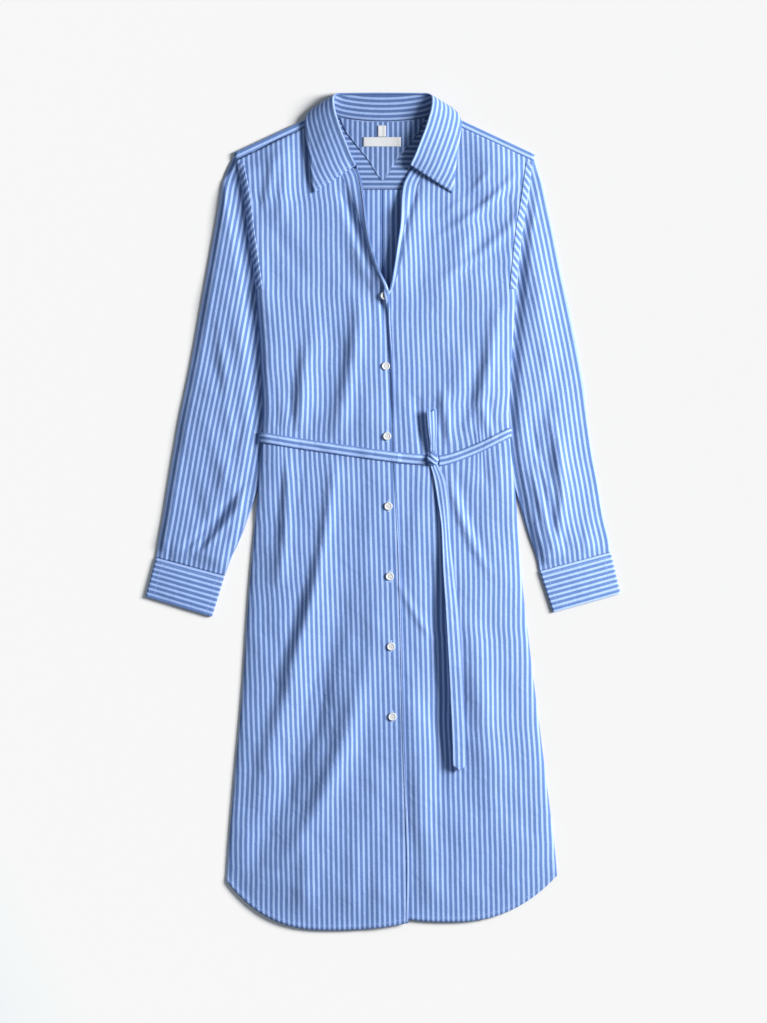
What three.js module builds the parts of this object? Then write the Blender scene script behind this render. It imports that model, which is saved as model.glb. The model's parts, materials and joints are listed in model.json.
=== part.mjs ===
// A striped shirt dress laid flat on its back, tied at the waist, with its sleeves straight down.
// Each cut piece is one closed wall of cloth. Millimetres, +Z up from the surface it lies on,
// +Y towards the collar, +X towards the wearer's left. The origin is under the middle of the dress.
import * as THREE from "three";

// Driving dimensions
const WALL = 1.2; // cloth with its turnings pressed flat
const GAP = 0.3; // between pieces that touch
const LAYER = WALL + GAP; // from one piece to the piece on it
const STAND_WALL = 1.4;
const COLLAR_WALL = 1.6;
const CUFF_WALL = 1.8;
const BELT_WALL = 1.3;
const BELT_WIDTH = 15; // as it is pulled round the waist
const BUTTON_DIAMETER = 11.5;
const BUTTON_COUNT = 7;
const BUTTON_PITCH = 98;
const TOP_BUTTON_Y = 302;
const YOKE_SEAM_Y = 451.5;
const NECK_CORNER = 84; // from the centre to where neck and shoulder meet
const YOKE_BAND = 11; // width of the yoke in front of the shoulder fold
const ARMHOLE_BAND = 10;
const FACING_INSET = 14; // the inner yoke stops this far inside the armhole
const COLLAR_LIFT = 2.2; // the yoke rises this far over the collar behind the neck
const BODY_LOFT = 2.6; // air between the fronts and the back
const SLEEVE_LOFT = 3.0;
const VEE_LOFT = 4.5; // the edges of the open neck stand up by this much

const CLOTH = { color: 0x8fafe0, roughness: 0.86, metalness: 0 };
const CLOTH_INSIDE = { color: 0x7d9bd0, roughness: 0.9, metalness: 0 };
const BUTTON = { color: 0xf1efe9, roughness: 0.35, metalness: 0 };
const WOVEN_LABEL = { color: 0xf4f4f2, roughness: 0.7, metalness: 0 };

// Side edges of the body, from the hem up to the shoulder
const BODY = [
  { y: -600, left: -222, right: 247 },
  { y: -498, left: -218, right: 243 },
  { y: -386, left: -209, right: 230 },
  { y: -252, left: -197, right: 213 },
  { y: -118, left: -188, right: 197 },
  { y: 17, left: -176, right: 186 },
  { y: 111, left: -169, right: 177 },
  { y: 199, left: -171, right: 179 },
  { y: 308, left: -178, right: 187 },
  { y: 395, left: -190, right: 196 },
  { y: 444, left: -196, right: 204 },
  { y: 504, left: -208, right: 212 },
];

// Front edges: the right front lies over the left, and both open into the neck above y 311
const FRONT_EDGE = [
  { y: -600, over: 35, under: 5 },
  { y: -487, over: 36, under: 4 },
  { y: -312, over: 30, under: -1 },
  { y: -67, over: 24, under: -5 },
  { y: 59, over: 18, under: -7 },
  { y: 190, over: 14, under: -11 },
  { y: 260, over: 10, under: -10 },
  { y: 311, over: 7, under: 9 },
  { y: 340, over: -6, under: 15 },
  { y: 374, over: -17, under: 20 },
  { y: 402, over: -22, under: 24 },
  { y: 456, over: -29, under: 28 },
  { y: 479, over: -36, under: 39 },
  { y: 505, over: -59, under: 60 },
  { y: 532, over: -76, under: 76 },
  { y: 551, over: -84, under: 84 },
];

// Rows of both fronts from hem to shoulder: heights at the side and at the front edge,
// and how far the row follows the hem or the belt
const FRONT_ROWS = [
  { side: -430, centre: -430, hem: 1, belt: 0 },
  { side: -430, centre: -430, hem: 0.7, belt: 0 },
  { side: -430, centre: -430, hem: 0.34, belt: 0 },
  { side: -430, centre: -430, hem: 0, belt: 0 },
  { side: -385, centre: -385, hem: 0, belt: 0 },
  { side: -340, centre: -340, hem: 0, belt: 0 },
  { side: -295, centre: -295, hem: 0, belt: 0 },
  { side: -250, centre: -250, hem: 0, belt: 0 },
  { side: -205, centre: -205, hem: 0, belt: 0 },
  { side: -160, centre: -160, hem: 0, belt: 0 },
  { side: -115, centre: -115, hem: 0, belt: 0 },
  { side: -70, centre: -70, hem: 0, belt: 0 },
  { side: -30, centre: -30, hem: 0, belt: 0 },
  { side: -2, centre: -2, hem: 0, belt: 0 },
  { side: 22, centre: 22, hem: 0, belt: 0.2 },
  { side: 46, centre: 46, hem: 0, belt: 0.7 },
  { side: 66, centre: 66, hem: 0, belt: 1 },
  { side: 81, centre: 81, hem: 0, belt: 1 },
  { side: 90, centre: 90, hem: 0, belt: 1 },
  { side: 99, centre: 99, hem: 0, belt: 1 },
  { side: 114, centre: 114, hem: 0, belt: 0.9 },
  { side: 143, centre: 143, hem: 0, belt: 0.4 },
  { side: 178, centre: 178, hem: 0, belt: 0 },
  { side: 214, centre: 214, hem: 0, belt: 0 },
  { side: 248, centre: 248, hem: 0, belt: 0 },
  { side: 274, centre: 274, hem: 0, belt: 0 },
  { side: 293, centre: 293, hem: 0, belt: 0 },
  { side: 311, centre: 311, hem: 0, belt: 0 },
  { side: 340, centre: 340, hem: 0, belt: 0 },
  { side: 374, centre: 374, hem: 0, belt: 0 },
  { side: 402, centre: 402, hem: 0, belt: 0 },
  { side: 430, centre: 432, hem: 0, belt: 0 },
  { side: 449, centre: 457, hem: 0, belt: 0 },
  { side: 463, centre: 479, hem: 0, belt: 0 },
  { side: 475, centre: 504, hem: 0, belt: 0 },
  { side: 485, centre: 530, hem: 0, belt: 0 },
  { side: 492.2, centre: 550.4, hem: 0, belt: 0 },
];

// Rows of the back from hem to yoke
const BACK_ROWS = [
  { y: -430, hem: 1, belt: 0 },
  { y: -430, hem: 0.5, belt: 0 },
  { y: -430, hem: 0, belt: 0 },
  { y: -320, hem: 0, belt: 0 },
  { y: -210, hem: 0, belt: 0 },
  { y: -110, hem: 0, belt: 0 },
  { y: -45, hem: 0, belt: 0 },
  { y: -10, hem: 0, belt: 0 },
  { y: 22, hem: 0, belt: 0.2 },
  { y: 48, hem: 0, belt: 1 },
  { y: 63, hem: 0, belt: 1 },
  { y: 79, hem: 0, belt: 1 },
  { y: 101, hem: 0, belt: 1 },
  { y: 117, hem: 0, belt: 1 },
  { y: 132, hem: 0, belt: 1 },
  { y: 176, hem: 0, belt: 0 },
  { y: 214, hem: 0, belt: 0 },
  { y: 248, hem: 0, belt: 0 },
  { y: 274, hem: 0, belt: 0 },
  { y: 303, hem: 0, belt: 0 },
  { y: 315, hem: 0, belt: 0 },
  { y: 329, hem: 0, belt: 0 },
  { y: 352, hem: 0, belt: 0 },
  { y: 385, hem: 0, belt: 0 },
  { y: 420, hem: 0, belt: 0 },
  { y: 451.5, hem: 0, belt: 0 },
];

// Middle line of the belt across the fronts
const BELT_LINE = [
  { x: -190, y: 106 },
  { x: -169, y: 104 },
  { x: -116, y: 95.5 },
  { x: 10, y: 77.7 },
  { x: 60, y: 72.8 },
  { x: 85, y: 72.4 },
  { x: 129, y: 87.5 },
  { x: 177, y: 110.6 },
  { x: 195, y: 119 },
];
const BELT_ROW = 90; // the row height that stands for the belt's middle line

// Largest folds of the fronts: where each runs, how wide it is and how high or deep
const FOLDS = [
  { top: -10, bottom: -110, xTop: -136, xMid: -142, xBottom: -156, width: 13, height: 1.8 },
  { top: -30, bottom: -450, xTop: -72, xMid: -146, xBottom: -200, width: 15, height: -2.4 },
  { top: -60, bottom: -470, xTop: -42, xMid: -124, xBottom: -186, width: 18, height: 3.4 },
  { top: -170, bottom: -470, xTop: -18, xMid: -70, xBottom: -172, width: 15, height: -2.2 },
  { top: -200, bottom: -400, xTop: -92, xMid: -98, xBottom: -126, width: 12, height: -1.8 },
  { top: -330, bottom: -560, xTop: -60, xMid: -84, xBottom: -112, width: 16, height: 1.8 },
  { top: 60, bottom: -90, xTop: 98, xMid: 122, xBottom: 150, width: 13, height: -2.2 },
  { top: 66, bottom: -170, xTop: 58, xMid: 46, xBottom: 58, width: 12, height: 1.8 },
  { top: -180, bottom: -370, xTop: 40, xMid: 66, xBottom: 98, width: 14, height: -2.2 },
  { top: -250, bottom: -450, xTop: 124, xMid: 150, xBottom: 184, width: 16, height: -2.0 },
  { top: -60, bottom: -420, xTop: 112, xMid: 128, xBottom: 150, width: 20, height: 2.6 },
  { top: -240, bottom: -545, xTop: 48, xMid: 56, xBottom: 74, width: 14, height: 2.0 },
  { top: 285, bottom: 112, xTop: -70, xMid: -80, xBottom: -90, width: 12, height: -2.0 },
  { top: 240, bottom: 112, xTop: -118, xMid: -128, xBottom: -140, width: 11, height: -1.8 },
  { top: 300, bottom: 120, xTop: -96, xMid: -104, xBottom: -114, width: 12, height: 2.0 },
  { top: 300, bottom: 160, xTop: -42, xMid: -50, xBottom: -62, width: 12, height: -1.6 },
  { top: 440, bottom: 300, xTop: 164, xMid: 130, xBottom: 100, width: 15, height: -1.8 },
  { top: 420, bottom: 270, xTop: 130, xMid: 100, xBottom: 74, width: 16, height: 1.8 },
  { top: 230, bottom: 110, xTop: 142, xMid: 128, xBottom: 112, width: 12, height: -2.0 },
  { top: 250, bottom: 108, xTop: 118, xMid: 104, xBottom: 90, width: 12, height: 2.0 },
  { top: 400, bottom: 290, xTop: -150, xMid: -120, xBottom: -98, width: 15, height: -1.6 },
];

// Sleeves from armhole to cuff: the outer fold, and the underarm fold measured inwards
// from the body's side edge, under which it lies
const SLEEVE_ROWS = [
  { outY: 465, outRight: 224, outLeft: 223, inY: 286, underRight: 3, underLeft: 3 },
  { outY: 430, outRight: 230, outLeft: 231, inY: 270, underRight: 10, underLeft: 10 },
  { outY: 385, outRight: 238, outLeft: 241, inY: 248, underRight: 18, underLeft: 18 },
  { outY: 335, outRight: 247, outLeft: 251, inY: 222, underRight: 23, underLeft: 23 },
  { outY: 285, outRight: 256, outLeft: 262, inY: 194, underRight: 26, underLeft: 26 },
  { outY: 233, outRight: 265, outLeft: 273, inY: 162, underRight: 25, underLeft: 25 },
  { outY: 182, outRight: 275, outLeft: 282, inY: 128, underRight: 21, underLeft: 21 },
  { outY: 130, outRight: 286, outLeft: 288, inY: 88, underRight: 13, underLeft: 13 },
  { outY: 84, outRight: 294, outLeft: 294, inY: 52, underRight: 6, underLeft: 5 },
  { outY: 42, outRight: 301, outLeft: 302, inY: 18, underRight: -4, underLeft: -3 },
  { outY: -3, outRight: 308, outLeft: 309, inY: -31, underRight: -17, underLeft: -14 },
  { outY: -36, outRight: 314, outLeft: 317, inY: -64, underRight: -29, underLeft: -23 },
];

// Folds of the sleeves, on the side named
const SLEEVE_FOLDS = [
  { side: -1, top: 330, bottom: 190, xTop: -226, xMid: -208, xBottom: -190, width: 12, height: 2.2 },
  { side: -1, top: 250, bottom: 90, xTop: -250, xMid: -222, xBottom: -190, width: 12, height: -2.0 },
  { side: -1, top: 160, bottom: 0, xTop: -262, xMid: -232, xBottom: -206, width: 13, height: 2.4 },
  { side: -1, top: 90, bottom: -60, xTop: -282, xMid: -262, xBottom: -244, width: 12, height: -1.8 },
  { side: 1, top: 350, bottom: 190, xTop: 232, xMid: 212, xBottom: 200, width: 13, height: 2.2 },
  { side: 1, top: 230, bottom: 80, xTop: 254, xMid: 230, xBottom: 204, width: 12, height: -2.0 },
  { side: 1, top: 150, bottom: -10, xTop: 270, xMid: 246, xBottom: 220, width: 13, height: 2.4 },
  { side: 1, top: 70, bottom: -70, xTop: 290, xMid: 276, xBottom: 262, width: 12, height: -1.8 },
];

// Corners of the cuffs: outer and inner ends of the seam with the sleeve, and of the free edge
const CUFFS = {
  right: {
    seam: { outX: -318.4, outY: -63.7, inX: -221.9, inY: -89.5 },
    edge: { outX: -333, outY: -118.3, inX: -239.5, inY: -146.7 },
  },
  left: {
    seam: { outX: 319.3, outY: -56.1, inX: 219.2, inY: -83 },
    edge: { outX: 333, outY: -114.1, inX: 238, inY: -140.8 },
  },
};

// Collar from its front end to the centre back: neck seam, roll line, outer edge, how wide the
// turn is and how far it turns under the stand rather than outwards
const COLLAR = [
  { seam: [35.5, 480, 4.6], roll: [37, 484, 8.6], edge: [98, 446, 8.4], turn: 2.6, under: 0 },
  { seam: [47.5, 493, 4.4], roll: [44.5, 497, 10.6], edge: [101, 469, 8.2], turn: 2.6, under: 0 },
  { seam: [58, 505, 4.3], roll: [51, 512, 11.6], edge: [103, 492, 7.9], turn: 2.6, under: 0 },
  { seam: [68.5, 521, 4.6], roll: [58, 529, 12.2], edge: [106, 512, 7.9], turn: 2.6, under: 0 },
  { seam: [76.2, 536, 5.6], roll: [64, 546, 12.2], edge: [108.5, 530, 7.8], turn: 2.6, under: 0 },
  { seam: [82.2, 552, 5.6], roll: [68.5, 563, 11.4], edge: [109.5, 546, 7.6], turn: 2.8, under: 0.1 },
  { seam: [80, 560.8, 5.0], roll: [69, 576, 9.4], edge: [104, 559, 5.6], turn: 3.2, under: 0.2 },
  { seam: [70, 557.4, 4.0], roll: [64, 582, 6.6], edge: [90, 568, 1.7], turn: 3.3, under: 0.85 },
  { seam: [56, 552.8, 3.6], roll: [53, 583, 5.0], edge: [70, 548, 0.82], turn: 3.6, under: 1 },
  { seam: [30, 549.2, 3.4], roll: [28.5, 583.4, 4.5], edge: [34, 540, 0.8], turn: 3.6, under: 1 },
  { seam: [0, 548, 3.4], roll: [0, 583.6, 4.4], edge: [0, 538, 0.8], turn: 3.6, under: 1 },
];

// Pointed patch inside the neck: half its width at each height
const PATCH = [
  { y: 465, half: 1.5 },
  { y: 475, half: 9 },
  { y: 493, half: 20 },
  { y: 510, half: 34 },
  { y: 525, half: 46 },
  { y: 538, half: 57 },
  { y: 547, half: 64 },
];

// Long end of the belt below the knot: its middle, width, height above the front and tilt
const TAIL = [
  { x: 74, y: 61.5, width: 13, lift: 2.2, tilt: 0 },
  { x: 80, y: 44, width: 17, lift: 3.2, tilt: 8 },
  { x: 84, y: 16, width: 16, lift: 4.4, tilt: 22 },
  { x: 87, y: -18, width: 13, lift: 5.2, tilt: 38 },
  { x: 89, y: -50, width: 14, lift: 5.4, tilt: 34 },
  { x: 91.5, y: -84, width: 17, lift: 5.6, tilt: 22 },
  { x: 95, y: -125, width: 19, lift: 6.0, tilt: 14 },
  { x: 98, y: -170, width: 20, lift: 6.6, tilt: 10 },
  { x: 101, y: -220, width: 20, lift: 7.0, tilt: 8 },
  { x: 103.5, y: -270, width: 20, lift: 6.8, tilt: 8 },
  { x: 105.5, y: -318, width: 20, lift: 6.0, tilt: 8 },
  { x: 106.5, y: -354, width: 19.5, lift: 5.0, tilt: 6 },
];
const TAIL_POINT = 8; // the cut point at the very end
const SHORT_END = [
  { x: 69.5, y: 84, width: 9, lift: 4.2, tilt: 0 },
  { x: 69.5, y: 96, width: 9, lift: 4.6, tilt: -6 },
  { x: 68.8, y: 112, width: 13, lift: 5.0, tilt: -10 },
  { x: 68, y: 128, width: 13.5, lift: 5.6, tilt: -10 },
  { x: 67.4, y: 140, width: 12.5, lift: 6.0, tilt: -8 },
];
const SHORT_NOTCH = -5; // the short end is cut to a notch
const KNOT = { x: 69, y: 73, radiusX: 8.2, radiusY: 10.4, radiusZ: 4.6 };

const clamp = (t) => Math.min(1, Math.max(0, t));
const lerp = (a, b, t) => a + (b - a) * t;
const range = (n) => [...Array(n).keys()];

// Eases from 0 at a to 1 at b
function ease(a, b, value) {
  const t = clamp((value - a) / (b - a));
  return t * t * (3 - 2 * t);
}

// Reads a column of a table as a smooth curve through its rows, which rise in the column named by
function along(table, column, value, by = "y") {
  const last = table.length - 1;
  const v = Math.min(table[last][by], Math.max(table[0][by], value));
  let i = 0;
  while (i < last - 1 && table[i + 1][by] < v) i += 1;
  const slope = (k) => {
    const a = table[Math.max(0, k - 1)];
    const b = table[Math.min(last, k + 1)];
    return (b[column] - a[column]) / (b[by] - a[by]);
  };
  const step = table[i + 1][by] - table[i][by];
  const t = (v - table[i][by]) / step;
  const start = (2 * t ** 3 - 3 * t ** 2 + 1) * table[i][column];
  const end = (3 * t ** 2 - 2 * t ** 3) * table[i + 1][column];
  const leaving = (t ** 3 - 2 * t ** 2 + t) * step * slope(i);
  const arriving = (t ** 3 - t ** 2) * step * slope(i + 1);
  return start + end + leaving + arriving;
}

// A closed geometry from points and faces, turned so that its faces point outwards
function closedGeometry(points, faces) {
  let volume = 0;
  for (const [a, b, c] of faces) {
    const cross = new THREE.Vector3().crossVectors(points[b], points[c]);
    volume += points[a].dot(cross);
  }
  const turned = volume < 0 ? faces.map(([a, b, c]) => [a, c, b]) : faces;
  const geometry = new THREE.BufferGeometry().setFromPoints(points);
  geometry.setIndex(turned.flat());
  geometry.computeVertexNormals();
  return geometry;
}

// A wall of cloth round a grid of middle points. keep(i, j) says which of its patches are cloth.
function clothWall(grid, thickness = WALL, keep = () => true) {
  const rows = grid.length;
  const columns = grid[0].length;
  const kept = (i, j) => i >= 0 && j >= 0 && i < rows - 1 && j < columns - 1 && keep(i, j);
  const normals = grid.map((row) => row.map(() => new THREE.Vector3()));
  const patches = [];
  for (const i of range(rows - 1)) {
    for (const j of range(columns - 1)) {
      if (!kept(i, j)) continue;
      patches.push([i, j]);
      const across = grid[i + 1][j + 1].clone().sub(grid[i][j]);
      const other = grid[i + 1][j].clone().sub(grid[i][j + 1]);
      const facing = across.cross(other).normalize();
      for (const [a, b] of [[0, 0], [0, 1], [1, 0], [1, 1]]) normals[i + a][j + b].add(facing);
    }
  }
  const points = [];
  grid.forEach((row, i) =>
    row.forEach((middle, j) => {
      const out = normals[i][j].normalize().multiplyScalar(thickness / 2);
      points.push(middle.clone().add(out), middle.clone().sub(out));
    }),
  );
  const top = (i, j) => 2 * (i * columns + j);
  const faces = [];
  for (const [i, j] of patches) {
    const corners = [[i, j], [i, j + 1], [i + 1, j + 1], [i + 1, j]];
    const [a, b, c, d] = corners.map(([p, q]) => top(p, q));
    faces.push([a, b, c], [a, c, d], [a + 1, c + 1, b + 1], [a + 1, d + 1, c + 1]);
    const beyond = [[i - 1, j], [i, j + 1], [i + 1, j], [i, j - 1]];
    [a, b, c, d].forEach((from, k) => {
      if (kept(...beyond[k])) return;
      const to = [b, c, d, a][k];
      faces.push([to, from, from + 1], [to, from + 1, to + 1]);
    });
  }
  return closedGeometry(points, faces);
}

// An open tube of cloth from matching loops of its outer and inner skins
function tubeWall(outer, inner) {
  const rings = outer.length;
  const count = outer[0].length;
  const points = [...outer.flat(), ...inner.flat()];
  const skin = rings * count;
  const faces = [];
  const quad = (a, b, c, d) => faces.push([a, b, c], [a, c, d]);
  for (const i of range(rings)) {
    for (const k of range(count)) {
      const next = (k + 1) % count;
      const a = i * count + k;
      const b = i * count + next;
      if (i < rings - 1) {
        quad(a, b, b + count, a + count);
        quad(skin + b, skin + a, skin + a + count, skin + b + count);
      }
      if (i === 0) quad(b, a, skin + a, skin + b);
      if (i === rings - 1) quad(a, b, skin + b, skin + a);
    }
  }
  return closedGeometry(points, faces);
}

const bodyEdge = (side, y) => along(BODY, side < 0 ? "left" : "right", y);
const insideBody = (x, y) => Math.min(x - bodyEdge(-1, y), bodyEdge(1, y) - x);
const shoulderFold = (x) => 503.5 + 0.466 * (209 - Math.abs(x));
const neckSeam = (x) => 547 + 14 * (Math.abs(x) / 84) ** 2.4;
const beltLine = (x) => along(BELT_LINE, "y", x, "x");
const beltBehind = (x) => lerp(104, 111, (x + 169) / 346);
const buttonX = (y) => lerp(2, 13, (TOP_BUTTON_Y - y) / (BUTTON_PITCH * (BUTTON_COUNT - 1)));

// Hem of the right front (over) and of the left front (under), each a curve from its lowest point
function hem(x, over) {
  const low = over ? { x: -67, y: -586, rise: 65, run: 149, power: 2.8 } : { x: 90, y: -574.5, rise: 63, run: 152, power: 2.5 };
  const outwards = over ? low.x - x : x - low.x;
  if (outwards > 0) return low.y + low.rise * (outwards / low.run) ** low.power;
  return low.y + (over ? 10 : 12) * (outwards / 100) ** 2;
}
const backHem = (x) => lerp(hem(x, true), hem(x, false), ease(10, 70, x)) + 5;

// Height of a fold table's folds at a point
function foldHeight(folds, x, y) {
  let height = 0;
  for (const f of folds) {
    const t = (f.top - y) / (f.top - f.bottom);
    if (t <= 0 || t >= 1) continue;
    const middle = f.xTop * (1 - t) * (1 - 2 * t) + 4 * f.xMid * t * (1 - t) + f.xBottom * t * (2 * t - 1);
    height += f.height * Math.sin(Math.PI * t) ** 0.7 * Math.exp(-(((x - middle) / f.width) ** 2));
  }
  return height;
}

// How far the sleeve's underarm fold lies inside the body's edge
const UNDERARM = SLEEVE_ROWS.map(({ inY, underRight }) => ({ y: inY, under: underRight })).reverse();
const sleeveUnder = (y) => along(UNDERARM, "under", y);

// Rise of the body's side over the two layers of the sleeve: how far in it is whole, and its fall
const liftReach = (y) => Math.max(13, sleeveUnder(y) + 6);
const LIFT_FALL = 42;
function sleeveLift(x, y) {
  const beside = ease(329, 304, y) * ease(-22, 22, y);
  const reach = liftReach(y);
  return 2 * LAYER * beside * (1 - ease(reach, reach + LIFT_FALL, insideBody(x, y)));
}

// Top of the yoke's flat part: the neck seam, or where it starts to turn over the shoulder
const yokeTop = (x) => (Math.abs(x) < NECK_CORNER ? neckSeam(x) : shoulderFold(x) - LAYER - WALL / 2);

// Underside of the back and the yoke
function backLift(x, y) {
  const belt = (LAYER + 0.15) * (1 - ease(11, 45, Math.abs(y - beltBehind(x))));
  const above = ease(yokeTop(x) - 28, yokeTop(x) - 11, y);
  const collar = COLLAR_LIFT * (1 - ease(86, 104, Math.abs(x))) * above;
  return sleeveLift(x, y) + belt + collar;
}

// Lift of the front edges where the neck opens
function veeLift(x, y) {
  const over = along(FRONT_EDGE, "over", y);
  const under = along(FRONT_EDGE, "under", y);
  const away = x < (over + under) / 2 ? over - x : x - under;
  const standing = ease(285, 335, y) * (1 - 0.75 * ease(400, 470, y));
  return VEE_LOFT * standing * (1 - ease(0, 48, Math.max(0, away)));
}

// Underside of a front: over the back, the sleeve's tucked edge and the inner yoke
function frontLift(x, y, over) {
  const inside = insideBody(x, y);
  const tucked = LAYER * ease(270, 293, y) * (1 - ease(12, 26, inside));
  const facing = LAYER * ease(425, 447, y);
  const pulledIn = 1 - 0.6 * (1 - ease(8, 60, Math.abs(y - beltLine(x))));
  const nearHem = 0.25 + 0.75 * ease(0, 60, y - hem(x, over));
  const underCollar = 1 - 0.8 * ease(440, 475, y) * (1 - ease(105, 140, Math.abs(x)));
  const puff = BODY_LOFT * ease(0, 70, inside) + veeLift(x, y) + foldHeight(FOLDS, x, y) * ease(0, 18, inside);
  const under = along(FRONT_EDGE, "under", y);
  const overlap = over ? (LAYER + 0.4) * ease(under - 34, under - 9, x) * ease(345, 320, y) : 0;
  const base = backLift(x, y) + LAYER + Math.max(tucked, facing);
  return base + Math.max(0, puff * pulledIn * nearHem * underCollar) + overlap;
}
const frontTop = (x, y, over) => frontLift(x, y, over) + WALL;

// Grid of a front's middle points, side seam first
function frontGrid(over) {
  const side = over ? -1 : 1;
  const edge = over ? "over" : "under";
  return FRONT_ROWS.map((row) => {
    const height = (x, share) => {
      const level = lerp(row.side, row.centre, share) + row.belt * (beltLine(x) - BELT_ROW);
      return Math.min(lerp(level, hem(x, over), row.hem), shoulderFold(x) - YOKE_BAND - GAP);
    };
    const nearSide = bodyEdge(side, row.side);
    const from = bodyEdge(side, height(nearSide, 0));
    const nearEdge = along(FRONT_EDGE, edge, row.centre);
    const to = along(FRONT_EDGE, edge, height(nearEdge, 1));
    const width = Math.abs(to - from);
    const inner = range(10).map((k) => lerp(11, width - 28, k / 9));
    const steps = [0, ...inner, width - 16, width - 7, width];
    return steps.map((step) => {
      const x = lerp(from, to, step / width);
      const y = height(x, step / width);
      return new THREE.Vector3(x, y, frontLift(x, y, over) + WALL / 2);
    });
  });
}

// Half of the back's box pleat across its width at one height, from the centre out to its foot.
// Full, it runs out along the surface, turns back over itself to the centre and out again.
const PLEAT_X = -1;
const PLEAT_FOOT = 42;
const PLEAT_RADIUS = 0.75;
function pleatProfile(y) {
  const open = ease(352, 304, y); // 0 is folded, 1 is flat
  const depth = lerp(1.7, 14, clamp((y - 352) / 90));
  const profile = [{ x: 0, z: WALL / 2 }];
  let heading = 0;
  const go = (length) => {
    const { x, z } = profile[profile.length - 1];
    profile.push({ x: x + length * Math.cos(heading), z: z + length * Math.sin(heading) });
  };
  const turn = (sign) => {
    const step = ((1 - open) * Math.PI) / 3;
    for (const _ of range(3)) {
      heading += (sign * step) / 2;
      go(PLEAT_RADIUS);
      heading += (sign * step) / 2;
    }
  };
  go(depth);
  turn(1);
  go(depth - 1.5);
  turn(-1);
  const last = profile[profile.length - 1];
  profile.push({ x: Math.max(depth + 3, last.x + 2.5), z: last.z });
  profile.push({ x: PLEAT_FOOT, z: WALL / 2 });
  return profile;
}

// Places across one side of the back, from the pleat's foot to the side seam
function backPlaces(side, y) {
  const edge = bodyEdge(side, y);
  const reach = liftReach(y);
  const foot = PLEAT_X + side * PLEAT_FOOT;
  const inwards = [LIFT_FALL, LIFT_FALL * 0.62, LIFT_FALL * 0.36, 0].map((d) => edge - side * (reach + d));
  return [lerp(foot, inwards[0], 0.5), ...inwards, edge];
}

function backGrid() {
  return BACK_ROWS.map((row) => {
    const height = (x) => lerp(row.y + row.belt * (beltBehind(x) - BELT_ROW), backHem(x), row.hem);
    const half = (side) => {
      const atSide = height(bodyEdge(side, row.y));
      const pleat = pleatProfile(row.y).map(({ x, z }) => ({ x: PLEAT_X + side * x, rise: z }));
      const rest = backPlaces(side, atSide).map((x) => ({ x, rise: WALL / 2 }));
      return [...pleat, ...rest];
    };
    const columns = [...half(-1).reverse(), ...half(1).slice(1)];
    return columns.map(({ x, rise }) => {
      const y = height(x);
      return new THREE.Vector3(x, y, rise + backLift(x, y));
    });
  });
}

const YOKE_COLUMNS = [0, 20, 40, 60, 74, NECK_CORNER, 100, 125, 150, 176];
// Column places across the yoke, mirrored, with the armhole last on each side
const AT_ARMHOLE = 999;
function yokeColumns() {
  const right = [...YOKE_COLUMNS, AT_ARMHOLE];
  return [...right.slice(1).reverse().map((x) => -x), ...right];
}

// Rows of the yoke's flat part at one place: two that divide it, then three under its top
function yokeRows(top) {
  const middle = lerp(YOKE_SEAM_Y, top - 28, 0.5);
  return [YOKE_SEAM_Y + GAP, middle, top - 28, top - 11, top];
}

function yokeGeometry() {
  const columns = yokeColumns();
  const place = (x, y) => (Math.abs(x) === AT_ARMHOLE ? bodyEdge(Math.sign(x), y) : x);
  const tip = columns.map((x) => place(x, 503));
  const flat = range(5).map((row) =>
    tip.map((x, j) => {
      const y = yokeRows(yokeTop(x))[row];
      const at = place(columns[j], y);
      return new THREE.Vector3(at, y, backLift(at, y) + WALL / 2);
    }),
  );
  const over = [45, 90, 135, 180].map((degrees) =>
    tip.map((x) => {
      const a = THREE.MathUtils.degToRad(degrees);
      const start = shoulderFold(x) - LAYER - WALL / 2;
      const z = backLift(x, start) + WALL / 2 + LAYER * (1 - Math.cos(a));
      return new THREE.Vector3(x, start + LAYER * Math.sin(a), z);
    }),
  );
  const band = tip.map((x) => {
    const y = shoulderFold(x) - YOKE_BAND;
    return new THREE.Vector3(x, y, backLift(x, y) + WALL / 2 + 2 * LAYER);
  });
  const onShoulder = (j) => Math.min(Math.abs(columns[j]), Math.abs(columns[j + 1])) >= NECK_CORNER;
  return clothWall([...flat, ...over, band], WALL, (i, j) => i < 4 || onShoulder(j));
}

function facingGeometry() {
  const columns = yokeColumns();
  const grid = range(5).map((row) =>
    columns.map((column) => {
      const side = Math.sign(column);
      const atArmhole = Math.abs(column) === AT_ARMHOLE;
      const x = atArmhole ? bodyEdge(side, 470) - side * FACING_INSET : column;
      const y = yokeRows(yokeTop(x))[row];
      const short = row === 4 && Math.abs(x) >= NECK_CORNER ? 2.4 : 0;
      return new THREE.Vector3(x, y - short, backLift(x, y - short) + LAYER + WALL / 2);
    }),
  );
  return clothWall(grid);
}

// Middle of the patch's wall, one layer above the inner yoke
const patchMiddle = (x, y) => backLift(x, y) + 2 * LAYER + WALL / 2;

function patchGeometry() {
  const shares = [-1, -0.66, -0.33, 0, 0.33, 0.66, 1];
  const grid = PATCH.map((row, i) =>
    shares.map((share) => {
      const x = PLEAT_X + share * row.half;
      const y = i === PATCH.length - 1 ? neckSeam(x) - 1 : row.y;
      return new THREE.Vector3(x, y, patchMiddle(x, y));
    }),
  );
  return clothWall(grid);
}

// A flat rectangle of tape that lies on the patch
function tapeGeometry(x0, x1, y0, y1) {
  const grid = [y0, (y0 + y1) / 2, y1].map((y) =>
    [x0, (x0 + x1) / 2, x1].map((x) => new THREE.Vector3(x, y, patchMiddle(x, y) + LAYER + 0.1)),
  );
  return clothWall(grid, 1);
}

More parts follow.
